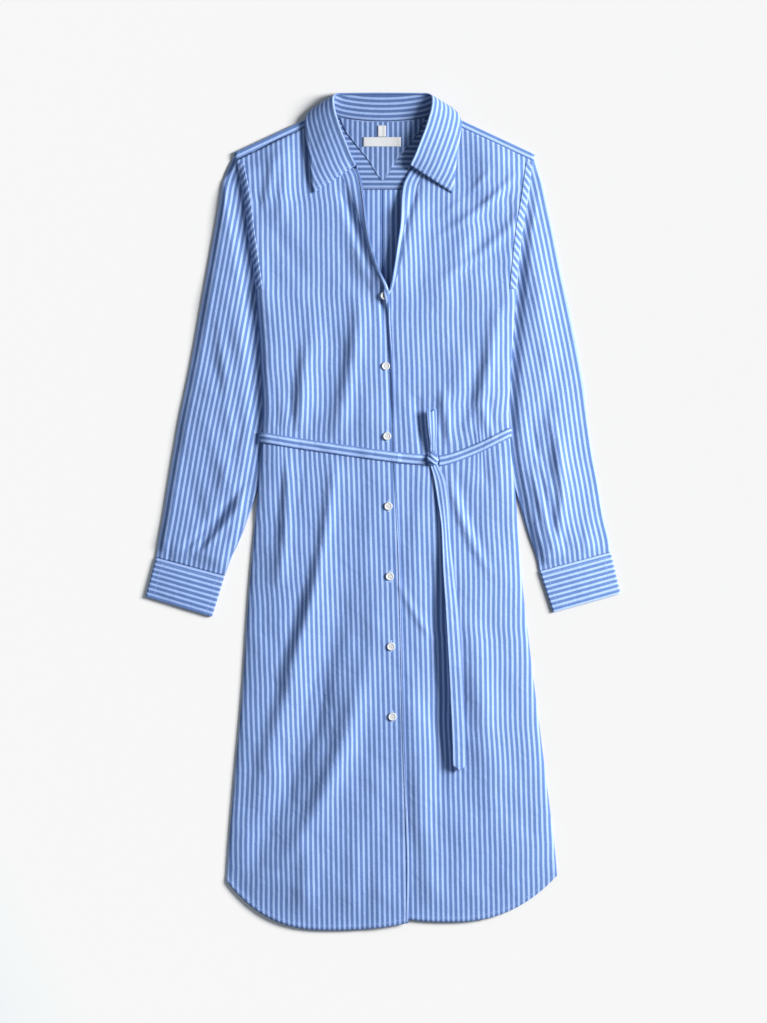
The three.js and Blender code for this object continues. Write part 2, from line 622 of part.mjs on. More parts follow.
// Collar stations from the wearer's right front end round the back to the left
function collarStations() {
  const mirror = ([x, y, z]) => new THREE.Vector3(-x, y, z);
  const keep = ([x, y, z]) => new THREE.Vector3(x, y, z);
  const side = (map) =>
    COLLAR.map((s) => ({ ...s, seam: map(s.seam), roll: map(s.roll), edge: map(s.edge) }));
  return [...side(mirror), ...side(keep).reverse().slice(1)];
}

const standGeometry = () =>
  clothWall(
    collarStations().map(({ seam, roll }) => [0, 0.5, 1].map((t) => seam.clone().lerp(roll, t))),
    STAND_WALL,
  );

// The fall starts just past the top of the stand, turns over and runs out to its edge
function fallGeometry() {
  const clear = GAP + 0.2 + COLLAR_WALL / 2;
  const square = (v, up) => v.clone().addScaledVector(up, -v.dot(up)).normalize();
  const grid = collarStations().map(({ seam, roll, edge, turn, under }) => {
    const up = roll.clone().sub(seam).normalize();
    const down = square(new THREE.Vector3(0, 0, -1), up);
    const out = square(edge.clone().sub(roll), up).lerp(down, under).normalize();
    const centre = roll.clone().addScaledVector(up, clear).addScaledVector(out, turn / 2);
    const rolled = [0, 60, 120, 180].map((degrees) => {
      const a = THREE.MathUtils.degToRad(degrees);
      const point = centre.clone().addScaledVector(out, (-turn / 2) * Math.cos(a));
      return point.addScaledVector(up, (turn / 2) * Math.sin(a));
    });
    const leaving = rolled[rolled.length - 1];
    const leaf = [0.2, 0.6, 1].map((t) => leaving.clone().lerp(edge, t));
    return [...rolled, ...leaf];
  });
  return clothWall(grid, COLLAR_WALL);
}

// Band along an armhole, from the front's own first two columns moved out
function armholeBandGeometry(front) {
  const rows = front.filter((row) => row[0].y > 297);
  const grid = rows.map((row) =>
    [0.04, 0.96].map((t) => {
      const point = row[0].clone().lerp(row[1], (t * ARMHOLE_BAND) / 10.6);
      point.z += LAYER;
      return point;
    }),
  );
  return clothWall(grid);
}

const ACROSS = [0.03, 0.16, 0.3, 0.44, 0.58, 0.72, 0.85, 0.97];

// One section of a flattened tube lying on the surface. place(share, upper) gives x and y, and
// height(x, y, share) the underside of its upper layer. Returns its outer and inner loops.
function flatSection(place, height, wall) {
  const ends = [place(0, false), place(1, false)];
  const length = Math.hypot(ends[1].x - ends[0].x, ends[1].y - ends[0].y);
  const inset = wall / length;
  const outer = [];
  const inner = [];
  const add = (list, share, upper, z) => {
    const { x, y } = place(share, upper);
    list.push(new THREE.Vector3(x, y, z));
  };
  const roof = (share) => {
    const { x, y } = place(share, true);
    return height(x, y, share);
  };
  const end = (share, inwards) => {
    add(outer, share, false, (roof(share) + wall) / 2);
    add(inner, share + inwards * inset, false, (roof(share) + wall) / 2);
  };
  end(0, 1);
  for (const share of ACROSS) {
    add(outer, share, false, 0);
    add(inner, share, false, wall);
  }
  end(1, -1);
  for (const share of [...ACROSS].reverse()) {
    add(outer, share, true, roof(share) + wall);
    add(inner, share, true, roof(share));
  }
  return { outer, inner };
}

const flatTube = (sections) =>
  tubeWall(sections.map((s) => s.outer), sections.map((s) => s.inner));

function sleeveGeometry(side) {
  const [out, under] = side < 0 ? ["outRight", "underRight"] : ["outLeft", "underLeft"];
  const cuff = side < 0 ? CUFFS.right : CUFFS.left;
  const folds = SLEEVE_FOLDS.filter((f) => f.side === side);
  const roof = (x, y, share) => {
    const clearOfBody = ease(16, 36, side * (x - bodyEdge(side, y)));
    const fromFolds = ease(0, 0.22, share) * ease(0, 0.14, 1 - share);
    const puff = SLEEVE_LOFT + foldHeight(folds, x, y);
    return LAYER + Math.max(0, puff) * clearOfBody * fromFolds;
  };
  // At the armhole the upper layer slips under the front's edge and the lower meets the back's
  const armhole = (share, upper) => {
    const y = lerp(501.5, 299, share);
    const slipped = 4.6 * ease(498, 486, y) * ease(331, 356, y);
    return { x: bodyEdge(side, y) + side * (0.6 - (upper ? slipped : 0)), y };
  };
  const sections = [flatSection(armhole, () => LAYER, WALL)];
  for (const row of SLEEVE_ROWS) {
    const inX = bodyEdge(side, row.inY) - side * row[under];
    const place = (share) => ({
      x: lerp(side * row[out], inX, share),
      y: lerp(row.outY, row.inY, share),
    });
    sections.push(flatSection(place, roof, WALL));
  }
  const { outX, outY, inX, inY } = cuff.seam;
  const last = (share) => ({ x: lerp(outX, inX, share), y: lerp(outY, inY, share) + GAP });
  sections.push(flatSection(last, (x, y, share) => LAYER + 1.4 * Math.sin(Math.PI * share), WALL));
  return flatTube(sections);
}

function cuffGeometry(side) {
  const { seam, edge } = side < 0 ? CUFFS.right : CUFFS.left;
  const sections = [0, 0.08, 0.5, 0.92, 1].map((t) => {
    const swell = 1.2 * ease(0, 0.3, t) * ease(0, 0.2, 1 - t);
    const place = (share) => {
      const spread = (share - 0.5) * swell * 2;
      const x = lerp(lerp(seam.outX, edge.outX, t), lerp(seam.inX, edge.inX, t), share);
      const y = lerp(lerp(seam.outY, edge.outY, t), lerp(seam.inY, edge.inY, t), share);
      return { x: x - side * spread, y };
    };
    const roof = (x, y, share) => CUFF_WALL + GAP + (0.4 + swell) * Math.sin(Math.PI * share);
    return flatSection(place, roof, CUFF_WALL);
  });
  return flatTube(sections);
}

// Middle of a strap that lies on the fronts
const onFronts = (x, y, over) => frontTop(x, y, over) + GAP + 0.25 + BELT_WALL / 2;

function beltGeometry() {
  const flat = BELT_WALL / 2;
  const shares = [-0.5, 0, 0.5];
  const path = [];
  const front = (x) => path.push({ x, on: "front" });
  const behind = (x) => path.push({ x, on: "back" });
  const wrap = (side) => {
    const middle = beltBehind(bodyEdge(side, 107));
    const edge = side * Math.max(...shares.map((t) => Math.abs(bodyEdge(side, middle + t * BELT_WIDTH))));
    const high = onFronts(edge, middle, side < 0);
    const low = sleeveLift(edge, middle) + flat;
    const round = [
      { x: edge + side * 1.2, z: high - 0.3 },
      { x: edge + side * 1.8, z: high - 1.2 },
      { x: edge + side * 1.8, z: low + 1.1 },
      { x: edge + side * 1.2, z: low + 0.2 },
    ];
    const turned = side < 0 ? round : round.reverse();
    path.push(...turned.map((p) => ({ ...p, middle })));
  };
  const leftEnd = backPlaces(1, 111).slice(1, -1);
  const rightEnd = backPlaces(-1, 104).slice(1, -1).reverse();
  [60.2, 48, 37, 28, 20].forEach(front);
  range(12).map((k) => lerp(8, -167, k / 11)).forEach(front);
  wrap(-1);
  [...rightEnd, -60, -20, 20, 60, ...leftEnd].forEach(behind);
  wrap(1);
  [175, 160, 145, 130, 115, 100, 88, 77.8].forEach(front);
  const grid = shares.map((share) =>
    path.map(({ x, on, z, middle }) => {
      const line = { front: beltLine(x), back: beltBehind(x) }[on] ?? middle;
      const y = line + share * BELT_WIDTH;
      if (on === "front") return new THREE.Vector3(x, y, onFronts(x, y, x < 24));
      if (on === "back") return new THREE.Vector3(x, y, sleeveLift(x, y) + flat);
      return new THREE.Vector3(x, y, z);
    }),
  );
  return clothWall(grid, BELT_WALL);
}

// A free end of the belt above the left front, with its last edge cut to a point or a notch
function beltEndGeometry(rows, point) {
  const heading = Math.sign(rows[rows.length - 1].y - rows[0].y);
  const grid = rows.map(({ x, y, width, lift, tilt }, i) => {
    const a = THREE.MathUtils.degToRad(tilt);
    const cut = i === rows.length - 1 ? point : 0;
    return [-0.5, 0, 0.5].map((share) => {
      const px = x + share * width * Math.cos(a);
      const py = y + heading * cut * (1 - 2 * Math.abs(share));
      const floor = frontTop(px, py, false);
      return new THREE.Vector3(px, py, floor + lift + share * width * Math.sin(a));
    });
  });
  return clothWall(grid, BELT_WALL);
}

// The knot is a rounded block: a ball with its directions squared off
function knotGeometry() {
  const ball = new THREE.SphereGeometry(1, 16, 10);
  const position = ball.getAttribute("position");
  const square = (v) => Math.sign(v) * Math.abs(v) ** 0.72;
  for (const i of range(position.count)) {
    const v = new THREE.Vector3().fromBufferAttribute(position, i);
    position.setXYZ(i, KNOT.radiusX * square(v.x), KNOT.radiusY * square(v.y), KNOT.radiusZ * square(v.z));
  }
  ball.deleteAttribute("normal");
  ball.deleteAttribute("uv");
  ball.computeVertexNormals();
  return ball;
}

function buttonGeometry() {
  const r = BUTTON_DIAMETER / 2;
  const profile = [[0, 0], [r - 0.6, 0], [r, 0.7], [r, 1.5], [r - 0.9, 2.3], [r - 2, 1.7], [0, 1.7]];
  const turned = new THREE.LatheGeometry(profile.map(([x, y]) => new THREE.Vector2(x, y)), 16);
  return turned.rotateX(Math.PI / 2);
}

// Highest point of the right front under a button
function buttonSeat(x, y) {
  const r = BUTTON_DIAMETER / 2;
  const rim = range(8).map((k) => [x + r * Math.cos((k * Math.PI) / 4), y + r * Math.sin((k * Math.PI) / 4)]);
  return Math.max(...[[x, y], ...rim].map(([px, py]) => frontTop(px, py, true)));
}

const dress = new THREE.Group();

function add(name, geometry, look = CLOTH) {
  const mesh = new THREE.Mesh(geometry, new THREE.MeshStandardMaterial(look));
  mesh.name = name;
  dress.add(mesh);
  return mesh;
}

const rightFront = frontGrid(true);
const leftFront = frontGrid(false);
add("back", clothWall(backGrid()));
add("yoke", yokeGeometry());
add("yoke_facing", facingGeometry(), CLOTH_INSIDE);
add("neck_patch", patchGeometry(), CLOTH_INSIDE);
add("front_left", clothWall(leftFront));
add("front_right", clothWall(rightFront));
add("collar_stand", standGeometry(), CLOTH_INSIDE);
add("collar", fallGeometry());
add("armhole_band_right", armholeBandGeometry(rightFront));
add("armhole_band_left", armholeBandGeometry(leftFront));
for (const [name, side] of [["right", -1], ["left", 1]]) {
  add(`sleeve_${name}`, sleeveGeometry(side));
  add(`cuff_${name}`, cuffGeometry(side));
}
add("belt", beltGeometry());
add("belt_tail", beltEndGeometry(TAIL, TAIL_POINT));
add("belt_short_end", beltEndGeometry(SHORT_END, SHORT_NOTCH));
const knotRest = frontTop(KNOT.x, KNOT.y, false) + GAP + 0.3;
add("belt_knot", knotGeometry()).position.set(KNOT.x, KNOT.y, knotRest + KNOT.radiusZ);
for (const k of range(BUTTON_COUNT)) {
  const y = TOP_BUTTON_Y - k * BUTTON_PITCH;
  const x = buttonX(y);
  add(`button_${k + 1}`, buttonGeometry(), BUTTON).position.set(x, y, buttonSeat(x, y) + GAP);
}
add("neck_label", tapeGeometry(-28, 25, 512, 525), WOVEN_LABEL);
add("hanger_loop", tapeGeometry(-7, 4, 525.5, 541), WOVEN_LABEL);

export default dress;
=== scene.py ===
# %% [markdown]
# A striped cotton shirt dress, laid flat. The imported model gives each cut piece as a plain wall of
# cloth with few faces. In this lesson each piece is made again in the same place as fine cloth:
# smooth panels from short tables of sizes, creases put in one by one, woven stripes that follow the
# grain of each piece, and the sewing. All lengths are in millimetres until a mesh is made.

# %% Load the imported model
import json
import math

import bmesh
import bpy
import numpy as np
from mathutils import Matrix

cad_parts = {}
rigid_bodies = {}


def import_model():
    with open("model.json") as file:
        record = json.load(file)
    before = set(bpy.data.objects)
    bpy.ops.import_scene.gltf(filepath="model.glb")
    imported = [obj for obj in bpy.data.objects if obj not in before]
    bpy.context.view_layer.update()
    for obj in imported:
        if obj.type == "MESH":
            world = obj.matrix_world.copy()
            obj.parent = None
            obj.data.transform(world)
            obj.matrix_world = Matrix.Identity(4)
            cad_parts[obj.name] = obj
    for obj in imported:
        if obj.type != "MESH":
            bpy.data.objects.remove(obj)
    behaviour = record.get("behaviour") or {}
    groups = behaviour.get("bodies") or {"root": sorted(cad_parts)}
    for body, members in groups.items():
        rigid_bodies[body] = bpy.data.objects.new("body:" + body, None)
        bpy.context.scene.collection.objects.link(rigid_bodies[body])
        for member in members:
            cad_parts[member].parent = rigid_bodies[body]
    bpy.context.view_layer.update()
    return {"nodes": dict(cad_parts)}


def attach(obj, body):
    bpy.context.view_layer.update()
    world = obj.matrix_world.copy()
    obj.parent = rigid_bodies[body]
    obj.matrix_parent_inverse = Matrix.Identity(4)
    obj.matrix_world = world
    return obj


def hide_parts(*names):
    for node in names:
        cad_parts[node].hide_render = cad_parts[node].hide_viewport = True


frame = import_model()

MM = 0.001
print("packed pieces:", len(frame["nodes"]))

# %% [markdown]
# The camera looks straight down, as in the photograph. It could be a flat, orthographic view, but
# a long lens from three metres up gives the slight perspective of a real studio picture. Each pixel
# of the photograph is 1.4 mm on the cloth.

# %% Camera
PIXEL = 1.4
PHOTO_ROWS = 1023
CAMERA_HEIGHT = 3200.0
CLOTH_LEVEL = 6.0
FILM = 24.0
lens = bpy.data.cameras.new("camera")
camera = bpy.data.objects.new("camera", lens)
bpy.context.scene.collection.objects.link(camera)
camera.location = (PIXEL / 2 * MM, PIXEL / 2 * MM, CAMERA_HEIGHT * MM)
lens.sensor_fit = "VERTICAL"
lens.sensor_height = FILM
lens.lens = FILM * (CAMERA_HEIGHT - CLOTH_LEVEL) / (PHOTO_ROWS * PIXEL)
bpy.context.scene.camera = camera
print("lens", round(lens.lens, 1), "mm")

# %% [markdown]
# A finish in Blender is a graph of small nodes. Each could be made and joined on a line of its own;
# a few short helpers do it here, so that every finish below reads as a list of what goes into it.

# %% Helpers for finishes
def feed(made, sockets):
    """Give each socket of a node a fixed value, or join another node's output to it"""
    for key, value in sockets.items():
        if isinstance(value, bpy.types.NodeSocket):
            made.id_data.links.new(value, made.inputs[key])
        else:
            made.inputs[key].default_value = value


def principled(name, colour, roughness):
    material = bpy.data.materials.new(name)
    material.use_nodes = True
    shader = material.node_tree.nodes["Principled BSDF"]
    feed(shader, {"Base Color": (*colour, 1), "Roughness": roughness})
    return material, shader


def node(tree, kind, sockets, **values):
    made = tree.nodes.new(kind)
    for key, value in values.items():
        setattr(made, key, value)
    feed(made, sockets)
    return made


def maths(tree, operation, *terms, clamp=False):
    sockets = dict(enumerate(terms))
    return node(tree, "ShaderNodeMath", sockets, operation=operation, use_clamp=clamp).outputs[0]


def object_place(tree):
    return node(tree, "ShaderNodeTexCoord", {}).outputs["Object"]


def across_and_along(tree, vector):
    return node(tree, "ShaderNodeSeparateXYZ", {0: vector}).outputs[:2]


def noise(tree, vector, scale, detail, distortion=0.0):
    sockets = {"Vector": vector, "Scale": scale, "Detail": detail, "Distortion": distortion}
    return node(tree, "ShaderNodeTexNoise", sockets).outputs[0]


def spread(tree, value, low, high):
    """A value from 0 to 1 made to run from low to high"""
    return node(tree, "ShaderNodeMapRange", {0: value, 3: low, 4: high}).outputs[0]


def bump(tree, height, strength, distance, **normal):
    sockets = {"Height": height, "Strength": strength, "Distance": distance, **normal}
    return node(tree, "ShaderNodeBump", sockets).outputs[0]


print("helpers for finishes ready")

# %% [markdown]
# The floor is pale studio paper. One large soft lamp stands low on the right, so folds are lit on
# their right and shaded on their left, and a dim world fills the shadows. The lamp is near, so its
# light falls off to the left; the paper is toned to match, as a studio evens out its backdrop.

# %% Floor and light
WORLD_LIGHT = 0.27
LAMP_POWER = 182
LAMP_AT = (2.3, 0.6, 1.5)
LAMP_SIZE = (0.9, 1.1)
LAMP_SHARE = 0.0986  # how bright white paper looks, for each watt, one metre under the lamp
PAPER_BRIGHTNESS = 0.93
SHADE_TINT = (0.87, 1.0, 1.16)
FLOOR_DROP = 0.8


def even_paper(tree, tint):
    """Tone that undoes the fall of the lamp's light over the paper, for one colour of the light"""
    lx, ly, height = LAMP_AT
    away = math.sqrt(lx * lx + ly * ly + height * height)
    x, y = across_and_along(tree, object_place(tree))
    dx, dy = maths(tree, "SUBTRACT", lx, x), maths(tree, "SUBTRACT", ly, y)
    squares = maths(tree, "ADD", maths(tree, "MULTIPLY", dx, dx), maths(tree, "MULTIPLY", dy, dy))
    distance = maths(tree, "ADD", squares, height * height)
    facing = maths(tree, "ADD", maths(tree, "MULTIPLY", dx, lx), maths(tree, "MULTIPLY", dy, ly))
    facing = maths(tree, "ADD", facing, height * height)
    lamp = maths(tree, "DIVIDE", facing, maths(tree, "MULTIPLY", distance, distance))
    lamp = maths(tree, "MULTIPLY", lamp, LAMP_SHARE * LAMP_POWER * height / away)
    light = maths(tree, "ADD", lamp, WORLD_LIGHT * tint)
    return maths(tree, "DIVIDE", PAPER_BRIGHTNESS, light, clamp=True)


def studio_floor():
    bpy.ops.mesh.primitive_plane_add(size=12, location=(0, 0, -FLOOR_DROP * MM))
    floor = bpy.context.object
    floor.name = "studio_floor"
    paper, shader = principled("studio_paper", (0.7, 0.7, 0.7), 0.9)
    tones = {channel: even_paper(paper.node_tree, tint) for channel, tint in enumerate(SHADE_TINT)}
    feed(shader, {"Base Color": node(paper.node_tree, "ShaderNodeCombineColor", tones).outputs[0]})
    floor.data.materials.append(paper)


def dim_world():
    world = bpy.data.worlds.new("studio")
    world.use_nodes = True
    feed(world.node_tree.nodes["Background"], {"Color": (*SHADE_TINT, 1), "Strength": WORLD_LIGHT})
    bpy.context.scene.world = world


def soft_lamp():
    lamp = bpy.data.lights.new("soft_lamp", "AREA")
    lamp.shape = "RECTANGLE"
    lamp.size, lamp.size_y = LAMP_SIZE
    lamp.energy = LAMP_POWER
    holder = bpy.data.objects.new("soft_lamp", lamp)
    holder.location = LAMP_AT
    x, y, z = holder.location
    holder.rotation_euler = (math.atan2(math.hypot(x, y), z), 0, math.atan2(-y, -x) - math.pi / 2)
    bpy.context.scene.collection.objects.link(holder)


studio_floor()
dim_world()
soft_lamp()
bpy.context.scene.view_settings.view_transform = "Standard"
print("lamp of", LAMP_POWER, "watts in a world of", WORLD_LIGHT)

# %% [markdown]
# Smooth curves through a few named sizes stand in for a paper pattern. `ease` blends between two
# states and `through` reads a table as a smooth curve, so a panel's edge or a fold's path takes
# only a handful of numbers.

# %% Reading sizes as smooth curves
def ease(a, b, value):
    t = np.clip((np.asarray(value, float) - a) / (b - a), 0, 1)
    return t * t * (3 - 2 * t)


def lerp(a, b, t):
    return a + (b - a) * t


def through(rows, value, column=1):
    """Smooth curve through one column of a table whose first column rises"""
    at = np.array([row[0] for row in rows], float)
    size = np.array([row[column] for row in rows], float)
    slope = np.empty(len(at))
    slope[1:-1] = (size[2:] - size[:-2]) / (at[2:] - at[:-2])
    slope[0] = (size[1] - size[0]) / (at[1] - at[0])
    slope[-1] = (size[-1] - size[-2]) / (at[-1] - at[-2])
    v = np.clip(np.asarray(value, float), at[0], at[-1])
    i = np.clip(np.searchsorted(at, v, side="right") - 1, 0, len(at) - 2)
    step = at[i + 1] - at[i]
    t = (v - at[i]) / step
    start = (2 * t**3 - 3 * t**2 + 1) * size[i] + (t**3 - 2 * t**2 + t) * step * slope[i]
    end = (3 * t**2 - 2 * t**3) * size[i + 1] + (t**3 - t**2) * step * slope[i + 1]
    return start + end


print("halfway up from 1 to 4 the curve is at", round(float(through([(0, 0), (1, 1), (2, 4)], 1.5)), 2))

# %% [markdown]
# The outline of the body, its front edges and the waist are the pattern's main curves. They are the
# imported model's own sizes, so every piece lands where the model has it.

# %% Pattern curves of the body
WALL = 1.2
LAYER = 1.5
BODY = [
    # y, left, right
    (-600, -222, 247), (-498, -218, 243), (-386, -209, 230), (-252, -197, 213), (-118, -188, 197),
    (17, -176, 186), (111, -169, 177), (199, -171, 179), (308, -178, 187), (395, -190, 196),
    (444, -196, 204), (504, -208, 212),
]
FRONT_EDGE = [
    # y, right front on top, left front under it
    (-600, 35, 5), (-487, 36, 4), (-312, 30, -1), (-67, 24, -5), (59, 18, -7), (190, 14, -11),
    (260, 10, -10), (311, 7, 9), (340, -6, 15), (374, -17, 20), (402, -22, 24), (456, -29, 28),
    (479, -36, 39), (505, -59, 60), (532, -76, 76), (551, -84, 84),
]
BELT_LINE = [
    (-190, 106), (-169, 104), (-116, 95.5), (10, 77.7), (60, 72.8), (85, 72.4), (129, 87.5),
    (177, 110.6), (195, 119),
]
UNDERARM = [
    (-64, -29), (-31, -17), (18, -4), (52, 6), (88, 13), (128, 21), (162, 25), (194, 26),
    (222, 23), (248, 18), (270, 10), (286, 3),
]
NECK_CORNER = 84
NECK_SEAM = 547
NECK_SEAM_RISE = 14
WAIST = 107
BELT_BEHIND = ((-169, 104), (177, 111))  # where the belt leaves the right side and the left one
SHOULDER_TIP = (209, 503.5)
SHOULDER_SLOPE = 0.466
YOKE_BAND = 11
HEM_RIGHT = (-67, -586, 65, 149, 2.8, 10)  # lowest point, rise to the side, its run and power, dip
HEM_LEFT = (90, -574.5, 63, 152, 2.5, 12)


def body_edge(side, y):
    return through(BODY, y, 1 if side < 0 else 2)


def inside_body(x, y):
    return np.minimum(x - body_edge(-1, y), body_edge(1, y) - x)


def belt_line(x):
    return through(BELT_LINE, x)


def belt_behind(x):
    (x0, y0), (x1, y1) = BELT_BEHIND
    return lerp(y0, y1, (x - x0) / (x1 - x0))


def shoulder_fold(x):
    return SHOULDER_TIP[1] + SHOULDER_SLOPE * (SHOULDER_TIP[0] - np.abs(x))


def neck_seam(x):
    return NECK_SEAM + NECK_SEAM_RISE * (np.abs(x) / NECK_CORNER) ** 2.4


def yoke_top(x):
    return np.where(np.abs(x) < NECK_CORNER, neck_seam(x), shoulder_fold(x) - LAYER - WALL / 2)


def hem(x, over):
    low_x, low_y, rise, run, power, dip = HEM_RIGHT if over else HEM_LEFT
    out = (low_x - x) if over else (x - low_x)
    outer = rise * (np.maximum(out, 0) / run) ** power
    inner = dip * (np.minimum(out, 0) / 100) ** 2
    return low_y + np.where(out > 0, outer, inner)


def back_hem(x):
    return lerp(hem(x, True), hem(x, False), ease(10, 70, x)) + 5


print("waist", round(float(body_edge(1, WAIST) - body_edge(-1, WAIST))), "mm across as it lies")

# %% [markdown]
# Cloth that lies in layers needs a height for each layer: the back rises over the sleeves where
# they slip under it and over the belt, and the fronts rise over the back, the turned-in armholes
# and the inner yoke. Heights are functions of the place, so each piece can ask what lies below it.

# %% Heights of the layers
def sleeve_lift(x, y):
    """How far a sleeve that slips under the side of the body lifts it, from the underarm down"""
    beside = ease(329, 304, y) * ease(-22, 22, y)
    reach = np.maximum(13, through(UNDERARM, y) + 6)
    return 2 * LAYER * beside * (1 - ease(0, 42, inside_body(x, y) - reach))


def back_lift(x, y):
    """What lifts the back: the sleeves, the belt behind it and the collar under the neck"""
    belt = (LAYER + 0.15) * (1 - ease(11, 45, np.abs(y - belt_behind(x))))
    above = ease(-28, -11, y - yoke_top(x))
    collar = 2.2 * (1 - ease(86, 104, np.abs(x))) * above
    return sleeve_lift(x, y) + belt + collar


def vee_lift(x, y):
    """The fronts stand up a little along the open neck"""
    over = through(FRONT_EDGE, y, 1)
    under = through(FRONT_EDGE, y, 2)
    away = np.where(x < (over + under) / 2, over - x, x - under)
    standing = ease(285, 335, y) * (1 - 0.75 * ease(400, 470, y))
    return 4.5 * standing * (1 - ease(0, 48, np.maximum(away, 0)))


print("back lifted", round(float(back_lift(0, 107.5)), 2), "mm by the belt behind it")

# %% [markdown]
# The creases are placed one by one from the photograph: each row says where one runs, how wide it is
# and how high or deep. A fold is a soft ridge along a bent path that fades at both ends. Cloth
# simulation would also make folds, but not these ones.

# %% Creases of the fronts
FRONT_FOLDS = [
    # top y, bottom y, x at the top, middle and bottom, width, height
    (-10, -110, -136, -142, -156, 13, 1.8),
    (-30, -450, -72, -146, -200, 15, -2.4),
    (-20, -410, -62, -122, -182, 15, 3.2),
    (-190, -500, -24, -62, -142, 20, 4.2),
    (-200, -400, -92, -98, -126, 12, -1.8),
    (-330, -560, -60, -84, -112, 16, 1.8),
    (60, -90, 98, 122, 150, 13, -2.2),
    (66, -170, 58, 46, 58, 12, 1.8),
    (-180, -370, 40, 66, 98, 14, -2.2),
    (-250, -450, 124, 150, 184, 16, -2.0),
    (-60, -420, 112, 128, 150, 20, 2.6),
    (-240, -545, 48, 56, 74, 16, 0.8),
    (285, 112, -70, -80, -90, 12, -2.0),
    (240, 112, -118, -128, -140, 11, -1.8),
    (300, 120, -96, -104, -114, 12, 2.0),
    (300, 160, -42, -50, -62, 12, -1.6),
    (440, 300, 164, 130, 100, 15, -1.8),
    (420, 270, 130, 100, 74, 16, 1.8),
    (230, 110, 142, 128, 112, 12, -2.0),
    (250, 108, 118, 104, 90, 12, 2.0),
    (400, 290, -150, -120, -98, 15, -1.6),
]
DRAPE = [
    # the same folds stand higher in real cloth: ridges and troughs read from their light and shade
    (240, 104, -110, -113, -118, 9, 3.2),
    (310, 98, -32, -45, -66, 12, 5.0),
    (500, 420, -152, -158, -166, 7, 1.8),
    (500, 400, -128, -136, -146, 9, 1.8),
    (80, -240, -67, -91, -140, 9, 4.5),
    (84, -110, -135, -136, -146, 8, 3.0),
    (-80, -520, -52, -106, -192, 18, -4.4),
    (-20, -400, -62, -122, -182, 10, 1.2),
    (-318, -420, -141, -135, -126, 7, -1.4),
    (-200, -500, -27, -65, -144, 15, 3.4),
    (-430, -570, -35, -40, -44, 14, 2.0),
    (-430, -575, -105, -110, -112, 13, 2.0),
    (-80, -420, 72, 78, 84, 11, -3.4),
    (-170, -575, 36, 50, 68, 15, 2.4),
    (66, -90, 92, 112, 152, 7, 3.2),
    (-96, -186, 20, 44, 74, 4.5, 1.8),
    (-150, -420, 132, 140, 165, 18, 3.0),
    (475, 380, 184, 140, 66, 8, 3.0),
    (480, 410, 150, 118, 78, 7, 2.0),
    (425, 320, 196, 150, 70, 9, 2.6),
    (290, 110, 160, 146, 118, 10, 3.5),
    (150, 96, 142, 146, 156, 6, 3.0),
    (175, 92, 84, 87, 92, 7, 3.5),
    (165, 74, 46, 52, 58, 7, -3.0),
    (208, 120, 8, 10, 12, 4, -1.6),
]
SMALL_CREASES = [
    # gathers where the belt draws the waist in
    (178, 104, -152, -150, -147, 3.6, -1.5),
    (168, 106, -138, -137, -135, 3.2, 1.0),
    (160, 106, -127, -127, -126, 3.6, -1.5),
    (150, 104, -101, -100, -98, 3.6, -1.3),
    (84, -6, -140, -142, -147, 4.5, -1.5),
    (88, 10, -112, -113, -118, 3.8, -1.1),
    (160, 98, 150, 150, 148, 3.4, -1.8),
    (170, 96, 140, 139, 136, 3.4, 1.2),
    (156, 96, 128, 127, 126, 3.8, -1.4),
    (92, 30, 141, 142, 146, 3.6, -1.5),
    (88, 20, 160, 161, 165, 4.0, 1.0),
    (150, 84, 86, 85, 82, 4.0, -1.8),
    (140, 84, 53, 55, 57, 4.0, -1.4),
    (64, -20, 74, 78, 84, 4.0, -1.4),
    # creases beside the open neck
    (500, 318, -72, -42, -9, 7.5, -6.0),
    (500, 335, 60, 36, 16, 5.5, -4.2),
    (318, 200, -6, 3, 6, 5.5, -3.2),
    (330, 250, -22, -16, -12, 4.5, -1.0),
    # pulls towards the armholes
    (470, 380, 168, 176, 184, 4.0, -0.9),
    (455, 390, -172, -176, -180, 4.0, -0.8),
]
print("creases placed by hand:", len(FRONT_FOLDS) + len(DRAPE) + len(SMALL_CREASES))

# %% [markdown]
# A front's height adds everything up: what lies below it, the folds, the roll along its side and,
# last, small creases and soft ripples. Near the hem, the belt and the collar the sum is pressed
# flatter, as cloth is there. Ripples are a few long waves; noise could make them, but waves stay
# smooth at any size.

# %% Height of the fronts
RIPPLES = [
    # wavelength, direction in degrees, start, height
    (61, 12, 0.3, 0.34), (83, -28, 1.9, 0.40), (47, 41, 4.1, 0.20), (118, 68, 2.6, 0.45),
    (34, -9, 5.2, 0.12), (150, -75, 0.9, 0.5),
]


def fold_height(folds, x, y):
    height = np.zeros(np.broadcast(x, y).shape)
    for top, bottom, x0, x1, x2, width, rise in folds:
        t = np.clip((top - y) / (top - bottom), 0, 1)
        middle = x0 * (1 - t) * (1 - 2 * t) + 4 * x1 * t * (1 - t) + x2 * t * (2 * t - 1)
        height += rise * np.sin(math.pi * t) ** 0.7 * np.exp(-(((x - middle) / width) ** 2))
    return height


def ripples(x, y, start=0.0):
    height = 0.0
    for length, degrees, phase, rise in RIPPLES:
        a = math.radians(degrees)
        along = (x * math.cos(a) + y * math.sin(a)) * 2 * math.pi / length
        height = height + rise * np.sin(along + phase + start + 0.6 * np.sin(along * 0.37 + start))
    return height


